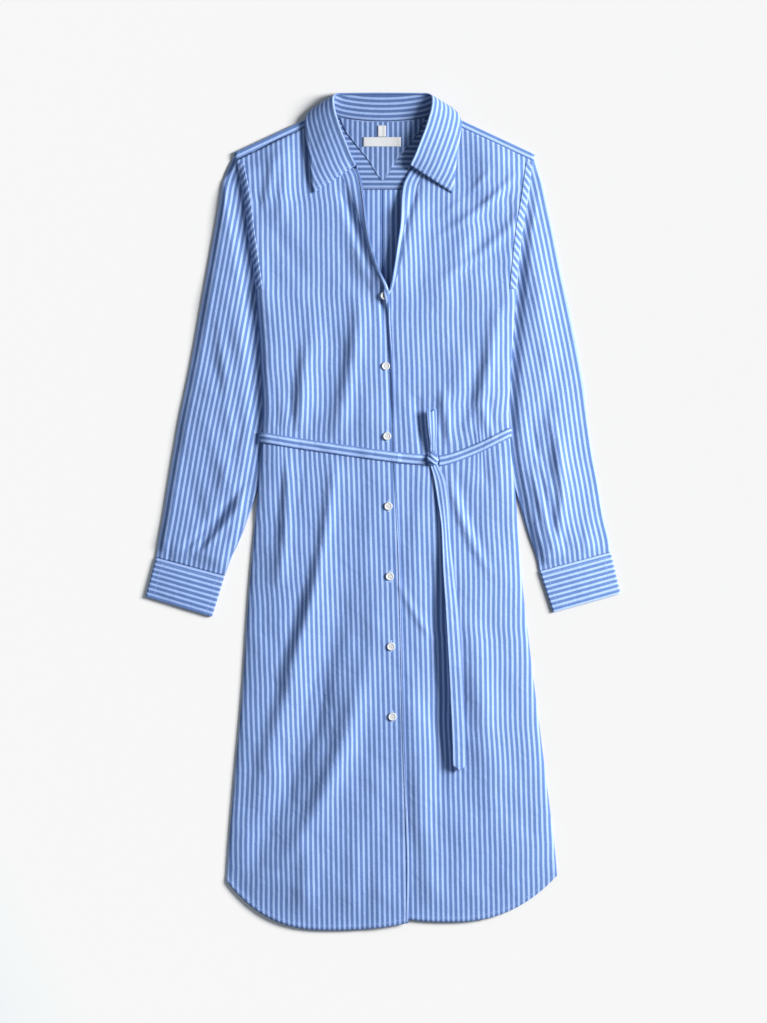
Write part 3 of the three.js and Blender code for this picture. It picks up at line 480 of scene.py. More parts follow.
def front_puff(x, y, over):
    """How far a front's folds, rolls and creases lift it off what lies below"""
    inside = inside_body(x, y)
    above_hem = y - hem(x, over)
    pulled_in = 1 - 0.45 * (1 - ease(8, 50, np.abs(y - belt_line(x))))
    near_hem = 0.25 + 0.75 * ease(0, 60, above_hem)
    under_collar = 1 - 0.8 * ease(440, 475, y) * (1 - ease(105, 140, np.abs(x)))
    folds = fold_height(FRONT_FOLDS, x, y) * ease(0, 18, inside)
    puff = 2.6 * ease(0, 70, inside) + vee_lift(x, y) + folds
    from_shoulder = ease(0, 32, shoulder_fold(x) - YOKE_BAND - y)
    clear_of_collar = 1 - ease(415, 446, y) * (1 - ease(112, 150, np.abs(x)))
    beside_sleeve = ease(60, 120, y)
    bead = 5.5 * np.exp(-np.maximum(inside, 0) / 45) * (x < 0)
    roll = 3.5 + bead * beside_sleeve
    side_roll = roll * (1 - np.exp(-np.maximum(inside, 0) / lerp(9, 5, beside_sleeve)))
    drape = 1.5 * fold_height(DRAPE, x, y) * ease(0, 14, inside)
    puff = puff + (0.9 * vee_lift(x, y) + side_roll + drape) * from_shoulder * clear_of_collar
    small = fold_height(SMALL_CREASES, x, y) * ease(0, 6, inside)
    soft = ripples(x, y) * ease(0, 30, inside) * ease(0, 40, above_hem) * (0.3 + 0.7 * clear_of_collar)
    return np.maximum(0, (puff + small + soft) * pulled_in * near_hem * under_collar)


def front_top(x, y, over):
    tucked = LAYER * ease(270, 293, y) * (1 - ease(12, 26, inside_body(x, y)))
    facing = LAYER * ease(425, 447, y)
    turned_hem = 0.45 * (1 - ease(6, 8, y - hem(x, over)))
    under = through(FRONT_EDGE, y, 2)
    overlap = (LAYER + 0.4) * ease(-34, -9, x - under) * ease(345, 320, y) if over else 0
    height = back_lift(x, y) + LAYER + np.maximum(tucked, facing) + overlap + turned_hem
    return height + front_puff(x, y, over) + WALL


print("front at the waist lies", round(float(front_top(-60, WAIST, True)), 1), "mm up")

# %% [markdown]
# A panel of cloth is a fine grid of points. The mesh keeps a second set of coordinates, called
# "grain", that says where each point lies on the flat cloth, in metres: across the stripes and
# along them. Blender's Solidify modifier gives the sheet its thickness.

# %% Making a piece of cloth
def grid_faces(rows, columns, wrap, keep):
    i, j = np.meshgrid(np.arange(rows - 1), np.arange(columns if wrap else columns - 1), indexing="ij")
    i, j = i.ravel(), j.ravel()
    if keep is not None:
        kept = keep[i, j]
        i, j = i[kept], j[kept]
    corners = [(i, j), (i, j + 1), (i + 1, j + 1), (i + 1, j)]
    vertex = np.stack([a * columns + b % columns for a, b in corners], axis=1)
    across = columns + 1 if wrap else columns
    grain = np.stack([a * across + b for a, b in corners], axis=1)
    return vertex, grain


def make_cloth(name, grid, grain, finish, thickness=0.7, wrap=False, keep=None, offset=0.0, flip=False,
               strip=None):
    """strip=(second grain, faces that take it) is for a part of the piece whose stripes turn"""
    rows, columns = grid.shape[:2]
    vertex, where = grid_faces(rows, columns, wrap, keep)
    places = grain.reshape(-1, 2)[where.ravel()].reshape(-1, 4, 2)
    if strip is not None:
        places[strip[1].ravel()] = strip[0].reshape(-1, 2)[where.ravel()].reshape(-1, 4, 2)[strip[1].ravel()]
    if flip:
        vertex, places = vertex[:, ::-1], places[:, ::-1]
    used, vertex = np.unique(vertex, return_inverse=True)
    vertex = vertex.reshape(-1, 4)
    mesh = bpy.data.meshes.new(name)
    mesh.from_pydata((grid.reshape(-1, 3)[used] * MM).tolist(), [], vertex.tolist())
    layer = mesh.uv_layers.new(name="grain")
    layer.data.foreach_set("uv", (places * MM).ravel())
    mesh.polygons.foreach_set("use_smooth", np.ones(len(vertex), bool))
    mesh.materials.append(finish)
    piece = bpy.data.objects.new(name, mesh)
    bpy.context.scene.collection.objects.link(piece)
    shell = piece.modifiers.new("cloth_thickness", "SOLIDIFY")
    shell.thickness = thickness * MM
    shell.offset = offset
    return piece


def wear(piece, *nodes, slot="cloth"):
    """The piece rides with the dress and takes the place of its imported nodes"""
    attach(piece, "root")
    if nodes:
        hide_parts(*nodes)
    return piece


def run_length(grid, axis=1):
    """Distance along each row of a grid, as a tape laid on the cloth would measure it"""
    step = np.linalg.norm(np.diff(grid, axis=axis), axis=2)
    none = np.zeros_like(np.take(step, [0], axis=axis))
    return np.concatenate([none, np.cumsum(step, axis=axis)], axis=axis)


print("a tape over three points reads", run_length(np.array([[[0, 0, 0], [3, 4, 0], [3, 4, 12]]]))[0])

# %% [markdown]
# The cloth is a yarn-dyed poplin: narrow near-white stripes on mid blue, each 7 mm apart. The
# stripes are computed from the grain coordinates, with edges that waver by a thread, so no image
# is needed. A fine plain weave and small crinkles go into the bump.

# %% Striped poplin
STRIPE_PITCH = 7.07
STRIPE_WIDTH = 0.42  # of the pitch
BLUE = (0.099, 0.176, 0.395)
WHITE = (0.335, 0.46, 0.77)


def grain_place(tree):
    return node(tree, "ShaderNodeUVMap", {}, uv_map="grain").outputs[0]


def striped_poplin(name, blue=BLUE, white=WHITE, crinkle=0.6):
    material, shader = principled(name, blue, 0.82)
    tree = material.node_tree
    grain = grain_place(tree)
    across, along = across_and_along(tree, grain)
    # a thread's waver at the edges of the stripes
    waver = maths(tree, "MULTIPLY", maths(tree, "SUBTRACT", noise(tree, grain, 420, 1), 0.5), 0.10)
    turns = maths(tree, "MULTIPLY", across, 1000 / STRIPE_PITCH)
    place = maths(tree, "FRACT", maths(tree, "ADD", turns, waver))
    away = maths(tree, "ABSOLUTE", maths(tree, "SUBTRACT", place, 0.5))
    limits = {0: away, 1: STRIPE_WIDTH / 2 - 0.07, 2: STRIPE_WIDTH / 2 + 0.07, 3: 1, 4: 0}
    stripe = node(tree, "ShaderNodeMapRange", limits, interpolation_type="SMOOTHSTEP").outputs[0]
    colours = {0: stripe, 6: (*blue, 1), 7: (*white, 1)}
    mix = node(tree, "ShaderNodeMix", colours, data_type="RGBA").outputs[2]
    # broad, faint change of shade over the cloth
    shade = spread(tree, noise(tree, grain, 14, 3), 0.93, 1.07)
    tone = node(tree, "ShaderNodeHueSaturation", {"Color": mix, "Value": shade}).outputs[0]
    # plain weave: threads over and under, a third of a millimetre apart
    threads = 2 * math.pi * 1000 / 0.7
    warp, weft = (maths(tree, "SINE", maths(tree, "MULTIPLY", way, threads)) for way in (across, along))
    creased = bump(tree, noise(tree, grain, 55, 4, 0.6), crinkle, 0.002)
    woven = bump(tree, maths(tree, "MULTIPLY", warp, weft), 0.25, 0.00008, Normal=creased)
    feed(shader, {"Base Color": tone, "Normal": woven, "Specular IOR Level": 0.25})
    feed(shader, {"Sheen Weight": 0.12, "Sheen Roughness": 0.5})
    return material


poplin = striped_poplin("striped_poplin")
print("stripes every", STRIPE_PITCH, "mm")

# %% [markdown]
# The two fronts are cut with their stripes upright. Each row of the grid runs from the side seam to
# the front edge. The rows bend to the hem at the bottom and to the shoulder at the top. The stripes
# run parallel to the front edge, gather where the belt pulls, and turn beside the open neck, where
# a strip along the edge folds up.

# %% Fronts
PINCHES = [
    # where cloth is drawn together at the waist: x, y, reach across and up, millimetres drawn in
    (137, 92, 26, 46, 5.0), (-144, 98, 24, 50, 4.0), (70, 74, 22, 40, 4.0), (-100, 96, 30, 40, 2.0),
]
NECK_CREASE = {
    True: [(311, 7), (353, -13), (400, -30), (467, -54), (551, -96)],
    False: [(311, 9), (353, 8), (395, 27), (421, 37), (463, 51.5), (551, 96)],
}


def strip_width(over, y):
    """Width of the strip that folds up along the open neck"""
    edge = through(FRONT_EDGE, y, 1 if over else 2)
    return np.maximum(5.5, np.abs(through(NECK_CREASE[over], y) - edge) * ease(300, 330, y))


def lip_size(over, y):
    """Radius of the rolled edge, and how far it leans back; it covers half of the top button"""
    by_button = np.exp(-(((y - 303) / 17) ** 2)) if over else 0 * y
    open_edge = ease(305, 345, y) * ease(478, 440, y)
    return 0.3 + 0.5 * open_edge + 1.9 * by_button, 2.6 - 1.0 * open_edge + 1.8 * by_button


print("strip that folds up at the neck:", round(float(strip_width(True, 400))), "mm wide at its middle")

# %% [markdown]
# The grid of a front has its rows close together where the cloth bends and its columns close at both
# edges. Its grain follows the front edge, is pulled in at the pinches, and counts the extra cloth
# that goes up and down the folds, so stripes crowd on a slope as they do on real cloth.

# %% Grid and grain of a front
TOP_BUTTON = (2.0, 302.0)
BUTTON_RADIUS = 5.75
BUTTON_HEIGHT = 2.4
LEVEL_ROWS = (-430.0, 430.0)  # between these the rows of the grid are level
SHELL_HALF = 0.35  # half the thickness of the cloth's shell


def button_seat(x, y):
    """Height of the cloth under a button: the highest place round its rim"""
    rim = np.linspace(0, 2 * math.pi, 17)
    return float(np.max(front_top(x + BUTTON_RADIUS * np.cos(rim), y + BUTTON_RADIUS * np.sin(rim), True)))


def front_places(over):
    side = -1 if over else 1
    column = 1 if over else 2
    low, high = LEVEL_ROWS
    hem_share = np.linspace(1, 0, 36)[:-1]
    level_rows = np.arange(low, high + 0.1, 5.0)
    top_share = np.linspace(0, 1, 30)[1:]
    share_hem = np.concatenate([hem_share, np.zeros(len(level_rows) + len(top_share))])
    straight = [np.full(len(hem_share), low), level_rows]
    centre = [(0, high), (0.25, 457), (0.45, 479), (0.65, 504), (0.85, 532), (1, 550.4)]
    at_side = np.concatenate([*straight, lerp(high, 492.2, top_share)])
    at_centre = np.concatenate([*straight, through(centre, top_share)])

    def height(x, share):
        level = lerp(at_side, at_centre, share)
        y = lerp(level, hem(x, over), share_hem)
        return np.minimum(y, shoulder_fold(x) - YOKE_BAND - 0.3)

    start = body_edge(side, at_side)
    for _ in range(3):
        start = body_edge(side, height(start, 0))
    end = through(FRONT_EDGE, at_centre, column)
    for _ in range(3):
        end = through(FRONT_EDGE, height(end, 1), column)
    edge_y = height(end, 1)
    end = end + side * lip_size(over, edge_y)[0]
    width = np.abs(end - start)
    strip = strip_width(over, edge_y)[:, None]
    near = np.array([0, 0.5, 1.1, 2.0, 3.2, 5.0])
    far = strip * np.array([1.0, 0.82, 0.64, 0.46, 0.28, 0.12, 0])
    inner = lerp(8, width[:, None] - strip - 2.5, np.linspace(0, 1, 66))
    steps = np.concatenate([np.broadcast_to(near, (len(width), 6)), inner, width[:, None] - far], axis=1)
    share = steps / width[:, None]
    x = lerp(start[:, None], end[:, None], share)
    y = np.stack([height(x[:, k], share[:, k]) for k in range(x.shape[1])], axis=1)
    return x, y, steps, width[:, None] - steps


def front_grain(grid, over):
    x, y, z = grid[..., 0], grid[..., 1], grid[..., 2]
    side = -1 if over else 1
    edge = through([(-600, 35), (-312, 30), (59, 19), (311, 12), (560, 4)], y)
    across = (edge - x) if over else (x - edge + 24)
    for px, py, reach, up, drawn in PINCHES:
        pull = drawn * np.tanh((x - px) / (0.35 * reach)) * np.exp(-((np.abs(x - px) / (1.6 * reach)) ** 2))
        across = across + side * pull * np.exp(-(((y - py) / up) ** 2))
    step = np.abs(np.gradient(x, axis=1))
    slope = np.clip(np.gradient(z, axis=1) / np.maximum(step, 0.2), -0.8, 0.8)
    stretch = np.cumsum((np.sqrt(1 + slope**2) - 1) * step, axis=1)
    return np.stack([across + stretch[:, -1:] - stretch, y], axis=2)


print("top button rests", round(button_seat(*TOP_BUTTON), 1), "mm up")

# %% [markdown]
# Along the open neck the edge rolls over. It is drawn as part of a circle and a short flat part
# behind it. Beside the top button the roll is larger and lies over half of the button.

# %% Rolled edges and the two fronts
def rolled_lip(x, y, z, over):
    """The edge of a front rolled up: half a turn, then a short way back over the cloth"""
    side = -1 if over else 1
    radius, back_by = (size[:, None] for size in lip_size(over, y[:, -1]))
    turn = np.radians(np.array([-60, -30, 0, 30, 60, 90]))
    lean = np.array([0.25, 0.5, 0.75, 1.0])
    turn_x = x[:, -1:] - side * radius * np.cos(turn)
    back_x = x[:, -1:] + side * back_by * lean
    back_y = np.broadcast_to(y[:, -1:], back_x.shape)
    resting = np.maximum(front_top(back_x, back_y, over) - SHELL_HALF, z[:, -1:] - 1.0)
    back_z = resting + 2 * radius - 0.1 * lean**2
    if over:
        clear = button_seat(*TOP_BUTTON) + BUTTON_HEIGHT + 2 * SHELL_HALF
        near = np.exp(-(((back_y - TOP_BUTTON[1]) / 9) ** 4))
        back_z = lerp(back_z, np.maximum(back_z, clear), near)
    turn_z = z[:, -1:] + (back_z[:, :1] - z[:, -1:]) / 2 * (1 + np.sin(turn))
    lip_x = np.concatenate([turn_x, back_x], axis=1)
    lip_z = np.concatenate([turn_z, back_z], axis=1)
    return np.stack([lip_x, np.broadcast_to(y[:, -1:], lip_x.shape), lip_z], axis=2)


def make_front(over):
    x, y, from_side, from_edge = front_places(over)
    rounding = 1 - np.sqrt(1 - np.clip(1 - from_side / 4.5, 0, 1) ** 2)
    z = front_top(x, y, over) - SHELL_HALF - 0.9 * rounding
    grid = np.stack([x, y, z], axis=2)
    grain = front_grain(grid, over)
    grid = np.concatenate([grid, rolled_lip(x, y, z, over)], axis=1)
    beyond = run_length(grid[:, x.shape[1] - 1 :])[:, 1:]
    more = np.stack([grain[:, -1:, 0] - beyond, np.broadcast_to(grain[:, -1:, 1], beyond.shape)], axis=2)
    grain = np.concatenate([grain, more], axis=1)
    # above the top button the strip beside the edge turns up, and its stripes follow the edge
    from_edge = np.concatenate([from_edge, -beyond], axis=1)
    along_edge = np.stack([from_edge + 1.0, run_length(grid, axis=0)], axis=2)
    crease_column = x.shape[1] - 7
    turned = np.zeros((grid.shape[0] - 1, grid.shape[1] - 1), bool)
    turned[:, crease_column:] = (y[:-1, -1] > 309)[:, None]
    name = "front_right" if over else "front_left"
    piece = make_cloth(name + "_cloth", grid, grain, poplin, flip=not over, strip=(along_edge, turned))
    return wear(piece, name)


front_right = make_front(True)
front_left = make_front(False)
print("fronts:", len(front_right.data.polygons), "and", len(front_left.data.polygons), "faces")

# %% [markdown]
# The back is one panel with a box pleat under the yoke: the cloth runs out, turns back on itself to
# the centre, and out again. Its profile at each height is drawn as a line that turns, the way a
# dressmaker folds it. Lower down the pleat lets its fullness go and the back lies flat.

# %% Back with its pleat
PANEL = 0.8  # thickness of the back's and the yokes' shells
PLEAT_X = -1.0
PLEAT_FOOT = 42.0
PLEAT_CUT = 69  # cloth from the middle of the pleat to its foot, by which the stripes are counted


def pleat_line(y):
    """Points of half the pleat's profile at height y: x from the centre and z above the lowest layer"""
    is_open = float(ease(352, 304, y))
    depth = float(lerp(1.7, 14, np.clip((y - 352) / 90, 0, 1)))
    points = [(0.0, WALL / 2)]
    heading = 0.0

    def go(length, pieces=1):
        for _ in range(pieces):
            px, pz = points[-1]
            step = length / pieces
            points.append((px + step * math.cos(heading), pz + step * math.sin(heading)))

    go(depth, 4)
    for _ in range(6):
        heading += (1 - is_open) * math.pi / 6
        go(0.375)
    go(depth - 1.5, 4)
    for _ in range(6):
        heading -= (1 - is_open) * math.pi / 6
        go(0.375)
    last_x, last_z = points[-1]
    start = max(depth + 3, last_x + 2.5)
    points.append((start, last_z))
    for t in (0.2, 0.4, 0.6, 0.8, 1.0):
        points.append((lerp(start, PLEAT_FOOT, t), lerp(last_z, WALL / 2, float(ease(0, 1, t)))))
    return points


def make_back():
    low = LEVEL_ROWS[0]
    hem_share = np.linspace(1, 0, 26)[:-1]
    below_pleat = [np.full(len(hem_share), low), np.arange(low, 300, 9.0)]
    levels = np.concatenate([*below_pleat, np.linspace(300, 451.5, 40)])
    shares = np.concatenate([hem_share, np.zeros(len(levels) - len(hem_share))])
    rows = []
    grain = []
    for level, share in zip(levels, shares):
        pleat = np.array(pleat_line(level))
        half_rows = []
        for side in (-1, 1):
            y_side = level
            for _ in range(3):
                y_side = lerp(level, back_hem(body_edge(side, y_side)), share)
            foot = PLEAT_X + side * PLEAT_FOOT
            out = lerp(foot, body_edge(side, y_side), np.linspace(0, 1, 36)[1:])
            x = np.concatenate([PLEAT_X + side * pleat[:, 0], out])
            z = np.concatenate([pleat[:, 1], np.full(len(out), WALL / 2)])
            y = lerp(level, back_hem(x), share)
            half_rows.append(np.stack([x, y, z + back_lift(x, y)], axis=1))
        row = np.concatenate([half_rows[0][::-1], half_rows[1][1:]])
        rows.append(row)
        middle = len(half_rows[0]) - 1
        length = np.concatenate([[0], np.cumsum(np.linalg.norm(np.diff(row, axis=0), axis=1))])
        left = length - length[middle - len(pleat) + 1] - PLEAT_CUT
        right = length - length[middle + len(pleat) - 1] + PLEAT_CUT
        across = np.where(np.arange(len(row)) <= middle, left, right)
        grain.append(np.stack([across, row[:, 1]], axis=1))
    piece = make_cloth("back_cloth", np.array(rows), np.array(grain), poplin, thickness=PANEL)
    return wear(piece, "back")


back = make_back()
print("back:", len(back.data.polygons), "faces")

# %% [markdown]
# The yoke has two layers. The outer one lies underneath here and folds over both shoulders to a
# narrow band at the front, with its stripes along the shoulder. The inner one shows in the neck,
# with stripes from side to side, and a pointed patch on it turns them upright.

# %% Yoke, inner yoke and patch
YOKE_END = 190


def yoke_rows(top):
    middle = lerp(451.5, top - 28, 0.5)
    rows = [451.8 + 0 * top, middle, top - 28, top - 11, top]
    fine = []
    for a, b in zip(rows[:-1], rows[1:]):
        fine += [lerp(a, b, t) for t in (0, 0.2, 0.4, 0.6, 0.8)]
    return fine + [rows[-1]]


def yoke_columns():
    arm = np.linspace(NECK_CORNER, YOKE_END, 28)[1:]
    neck = np.linspace(4, NECK_CORNER, 21)[1:]
    return np.concatenate([-arm[::-1], -neck[::-1], np.linspace(-4, 4, 3), neck, arm])


def yoke_place(column, y, inset):
    """Columns beyond the neck corner spread out to the armhole at their own height"""
    side = np.sign(column)
    t = np.clip((np.abs(column) - NECK_CORNER) / (YOKE_END - NECK_CORNER), 0, 1)
    edge = body_edge(1, y) * (side > 0) + body_edge(-1, y) * (side <= 0)
    return np.where(t > 0, side * NECK_CORNER + t * (edge - side * (NECK_CORNER + inset)), column)


def make_yoke():
    columns = yoke_columns()
    tip = yoke_place(columns, 503.0, 0)
    tops = yoke_top(tip)
    rows = []
    for y in yoke_rows(tops):
        x = yoke_place(columns, y, 0)
        rows.append(np.stack([x, y, back_lift(x, y) + WALL / 2], axis=1))
    flat = len(rows)
    start = shoulder_fold(tip) - LAYER - WALL / 2
    for degrees in (20, 45, 70, 90, 110, 135, 160, 180):
        a = math.radians(degrees)
        z = back_lift(tip, start) + WALL / 2 + LAYER * (1 - math.cos(a))
        rows.append(np.stack([tip, start + LAYER * math.sin(a), z], axis=1))
    for t in (0.3, 0.6, 0.85, 1):
        y = lerp(start, shoulder_fold(tip) - YOKE_BAND, t)
        puff = 0.25 * math.sin(math.pi * t)
        z = back_lift(tip, y) + WALL / 2 + 2 * LAYER + puff
        rows.append(np.stack([tip, y, z], axis=1))
    grid = np.array(rows)
    length = run_length(grid, axis=0)
    along_shoulder = length - length[flat - 1]
    level = grid[..., 1] - tops
    across_back = lerp(grid[..., 1] - 545, level, ease(-70, -5, level))
    across = np.where(np.arange(len(rows))[:, None] < flat, across_back, along_shoulder)
    grain = np.stack([across + 1.2, grid[..., 0]], axis=2)
    # only the shoulders fold over; the neck stays open
    keep = np.ones((len(rows) - 1, len(columns) - 1), bool)
    neck = np.minimum(np.abs(columns[:-1]), np.abs(columns[1:])) < NECK_CORNER - 0.01
    keep[flat - 1 :, neck] = False
    piece = make_cloth("yoke_cloth", grid, grain, poplin, thickness=PANEL, keep=keep)
    return wear(piece, "yoke")


def make_inner_yoke():
    columns = yoke_columns()
    x = yoke_place(columns, 470.0, 14)
    tops = yoke_top(x) - np.where(np.abs(columns) > NECK_CORNER, 2.4, 0.0)
    rows = [np.stack([x, y, back_lift(x, y) + LAYER + WALL / 2], axis=1) for y in yoke_rows(tops)]
    grid = np.array(rows)
    grain = np.stack([grid[..., 1], grid[..., 0]], axis=2)
    piece = make_cloth("inner_yoke_cloth", grid, grain, shaded_poplin, thickness=PANEL)
    return wear(piece, "yoke_facing")


PATCH = [(465, 1.5), (475, 9), (493, 20), (510, 34), (525, 46), (538, 57), (547, 64)]


def patch_top(x, y):
    return back_lift(x, y) + 2 * LAYER + WALL - 0.8


def make_patch():
    t = np.linspace(0, 1, 30)[:, None]
    s = np.linspace(-1, 1, 41)[None, :]
    low = 465 + 82 * t
    x = PLEAT_X + s * through(PATCH, low)
    y = np.where(t > 0.8, lerp(low, neck_seam(x) - 1, ease(0.8, 1, t)), low + 0 * s)
    grid = np.stack([x, y, patch_top(x, y) - 0.42 + 0 * x], axis=2)
    grain = np.stack([x - 3.5, y], axis=2)
    return wear(make_cloth("neck_patch_cloth", grid, grain, shaded_poplin, thickness=0.45), "neck_patch")


# The inner yoke, the patch and the collar stand take the same poplin made darker: painted shade for the
# shadow inside the neck.
SHADED_BLUE = tuple(0.68 * part for part in BLUE)
SHADED_WHITE = tuple(0.74 * part for part in WHITE)
shaded_poplin = striped_poplin("painted_shade_poplin", blue=SHADED_BLUE, white=SHADED_WHITE)
yoke = make_yoke()
inner_yoke = make_inner_yoke()
patch = make_patch()

# %% [markdown]
# The collar is a stand and a fall. Ten stations on each side give its neck seam, its roll line and
# its outer edge; the curves between them are smooth. The fall turns over the top of the stand: it
# lies on the fronts in two points, and behind the neck it passes underneath. Its stripes run along
# its length, so they are upright on the points and level at the back.

# %% Collar
COLLAR = [
    # seam, roll, edge, turn, how far it turns under
    ((35.5, 480, 4.6), (37, 484, 10.4), (98, 446, 8.6), 2.6, 0),
    ((47.5, 493, 4.4), (44.5, 497, 15.0), (101, 469, 9.8), 2.6, 0),
    ((58, 505, 4.3), (51, 512, 18.4), (103, 492, 10.6), 2.6, 0),
    ((68.5, 521, 4.6), (58, 529, 21.0), (106, 512, 10.8), 2.6, 0),
    ((76.2, 536, 5.6), (64, 546, 21.8), (108.5, 530, 10.2), 2.6, 0),
    ((82.2, 552, 5.6), (68.5, 563, 20.4), (109.5, 546, 9.2), 2.8, 0.1),
    ((80, 560.8, 5.0), (69, 576, 15.5), (104, 559, 6.6), 3.2, 0.3),
    ((70, 557.4, 4.0), (64, 582, 10.0), (90, 568, 2.0), 3.3, 0.85),
    ((56, 552.8, 3.6), (53, 583, 7.4), (70, 548, 0.82), 3.6, 1),
    ((30, 549.2, 3.4), (28.5, 583.4, 6.6), (34, 540, 0.8), 3.6, 1),
    ((0, 548, 3.4), (0, 583.6, 6.4), (0, 538, 0.8), 3.6, 1),
]


COLLAR_ROWS = 141


def collar_stations():
    half = np.array([[*seam, *roll, *edge, turn, under] for seam, roll, edge, turn, under in COLLAR])
    mirror = half.copy()
    mirror[:, [0, 3, 6]] *= -1
    whole = np.concatenate([mirror, half[::-1][1:]])
    at = np.arange(len(whole))
    fine = np.linspace(0, len(whole) - 1, COLLAR_ROWS)
    return np.stack([through(list(zip(at, column)), fine) for column in whole.T], axis=1)


def unit(v):
    return v / np.linalg.norm(v, axis=-1, keepdims=True)


def square_to(v, up):
    return unit(v - (v * up).sum(-1, keepdims=True) * up)


def make_collar():
    s = collar_stations()
    seam, roll, edge, turn, under = s[:, 0:3], s[:, 3:6], s[:, 6:9], s[:, 9:10], s[:, 10:11]
    stand = np.stack([lerp(seam, roll, t) for t in np.linspace(0, 1, 9)], axis=1)
    wave = np.sin(math.pi * np.linspace(0, 1, 9))[None, :, None]
    stand = stand + wave * np.array([0, 0, 0.35])
    stand_grain = np.stack([run_length(stand), run_length(stand, axis=0)], axis=2)
    stand_grain = stand_grain + [1.0, 0]
    # the stand is made of the darker poplin: painted shade inside the neck
    stand_piece = make_cloth("collar_stand_cloth", stand, stand_grain, shaded_poplin, thickness=1.0)
    wear(stand_piece, "collar_stand")
    up = unit(roll - seam)
    down = square_to(np.broadcast_to([0.0, 0.0, -1.0], up.shape), up)
    out = unit(lerp(square_to(edge - roll, up), down, under))
    centre = roll + up * 1.25 + out * turn / 2
    rolled = []
    for degrees in np.linspace(0, 180, 9):
        a = math.radians(degrees)
        rolled.append(centre - out * turn / 2 * math.cos(a) + up * turn / 2 * math.sin(a))
    leaf = []
    for t in np.linspace(0, 1, 19)[1:]:
        leaf.append(lerp(rolled[-1], edge, t) + np.array([0, 0, 0.5]) * math.sin(math.pi * t))
    fall = np.stack(rolled + leaf, axis=1)
    fall_grain = np.stack([run_length(fall), run_length(fall, axis=0)], axis=2)
    fall_piece = make_cloth("collar_fall_cloth", fall, fall_grain, poplin, thickness=1.1)
    wear(fall_piece, "collar")
    return stand_piece, fall_piece, fall


collar_stand, collar, collar_grid = make_collar()

# %% [markdown]
# A sleeve is a flattened tube that fans out from the armhole, lies beside the body, and slips under
# the side of the back. Its two folds are read from stations down the arm. Folds and creases have
# rows like those of the fronts.

# %% Sizes of the sleeves and cuffs
SLEEVE = [
    # outer y, outer x right and left, inner y, inside the body's edge right and left
    (465, 224, 223, 286, 3, 3), (430, 230, 231, 270, 10, 10), (385, 238, 241, 248, 18, 18),
    (335, 247, 251, 222, 23, 23), (285, 256, 262, 194, 26, 26), (233, 265, 273, 162, 25, 25),
    (182, 275, 282, 128, 21, 21), (130, 286, 288, 88, 13, 13), (84, 294, 294, 52, 6, 5),
    (42, 301, 302, 18, -4, -3), (-3, 308, 309, -31, -17, -14), (-36, 314, 317, -64, -29, -23),
]
SLEEVE_FOLDS = {
    -1: [
        (330, 190, -226, -208, -190, 12, 2.2), (250, 90, -250, -222, -190, 12, -2.0),
        (160, 0, -262, -232, -206, 13, 2.4), (90, -60, -282, -262, -244, 12, -1.8),
    ],
    1: [
        (350, 190, 232, 212, 200, 13, 2.2), (230, 80, 254, 230, 204, 12, -2.0),
        (150, -10, 270, 246, 220, 13, 2.4), (70, -70, 290, 276, 262, 12, -1.8),
    ],
}
SLEEVE_CREASES = {
    -1: [
        (130, 60, -196, -206, -214, 4.5, -1.6), (96, 20, -204, -220, -232, 4.0, 1.2),
        (40, -40, -214, -226, -240, 4.0, -1.3), (-30, -66, -250, -251, -253, 3.0, -1.0),
        (-28, -70, -272, -273, -276, 3.0, -1.1), (-34, -72, -298, -299, -301, 3.0, -0.9),
        (480, 380, -222, -214, -208, 4.0, -1.0), (60, -58, -184, -226, -284, 7, -3.4),
        (20, -70, -205, -240, -268, 6, -2.2), (44, -64, -176, -214, -262, 6, 2.0),
        (290, 100, -230, -222, -212, 8, 2.5),
    ],
    1: [
        (140, 60, 204, 212, 222, 4.5, -1.6), (90, 10, 210, 226, 238, 4.0, 1.2),
        (40, -40, 222, 232, 246, 4.0, -1.3), (-24, -60, 254, 255, 257, 3.0, -1.0),
        (-20, -62, 276, 277, 280, 3.0, -1.1), (-18, -58, 300, 301, 303, 3.0, -0.9),
        (480, 380, 226, 220, 214, 4.0, -1.0), (140, -60, 232, 250, 238, 8, 4.0),
        (66, -56, 208, 222, 238, 6, 2.5), (380, 200, 222, 226, 232, 12, 2.5),
    ],
}
ARMHOLE = (501.5, 299)  # heights of its two ends
SLEEVE_GAP = 0.6
CUFFS = {
    # outer and inner ends of the seam, then of the free edge
    -1: ((-318.4, -63.7), (-221.9, -89.5), (-333, -118.3), (-239.5, -146.7)),
    1: ((319.3, -56.1), (219.2, -83), (333, -114.1), (238, -140.8)),
}


print("a cuff is", round(math.dist(CUFFS[1][0], CUFFS[1][1])), "mm wide")

# %% [markdown]
# Sleeves and cuffs could be two flat layers each, but one closed tube with rounded folds is what the
# real ones are, and looks right from any side. Each loop of the tube goes under and back on top.

# %% A flattened tube
TUBE_COLUMNS = 46


def flat_tube(ends, roof, stations, slipped=None):
    """Loops of a flattened tube: ends(t) gives the outer and inner fold, roof(x, y, share, t) its top,
    and slipped(x, y, t) moves the top layer where it lies under the body"""
    share = 0.5 - 0.5 * np.cos(np.linspace(0, math.pi, TUBE_COLUMNS))
    share = lerp(share, np.linspace(0, 1, TUBE_COLUMNS), 0.55)
    loops = []
    for t in stations:
        (ox, oy), (ix, iy) = ends(t)
        width = math.hypot(ix - ox, iy - oy)
        x, y = lerp(ox, ix, share), lerp(oy, iy, share)
        top_x, top_y = slipped(x, y, t) if slipped else (x, y)
        height = roof(top_x, top_y, share, t)
        near = np.minimum(share, 1 - share) * width
        half = height / 2
        full = np.sqrt(np.clip(1 - np.clip(1 - near / np.maximum(half, 0.5), 0, 1) ** 2, 0, 1))
        low = np.stack([x, y, half * (1 - full)], axis=1)
        top = np.stack([top_x, top_y, half * (1 + full)], axis=1)
        loops.append(np.concatenate([low, top[::-1][1:-1]]))
    return np.array(loops)


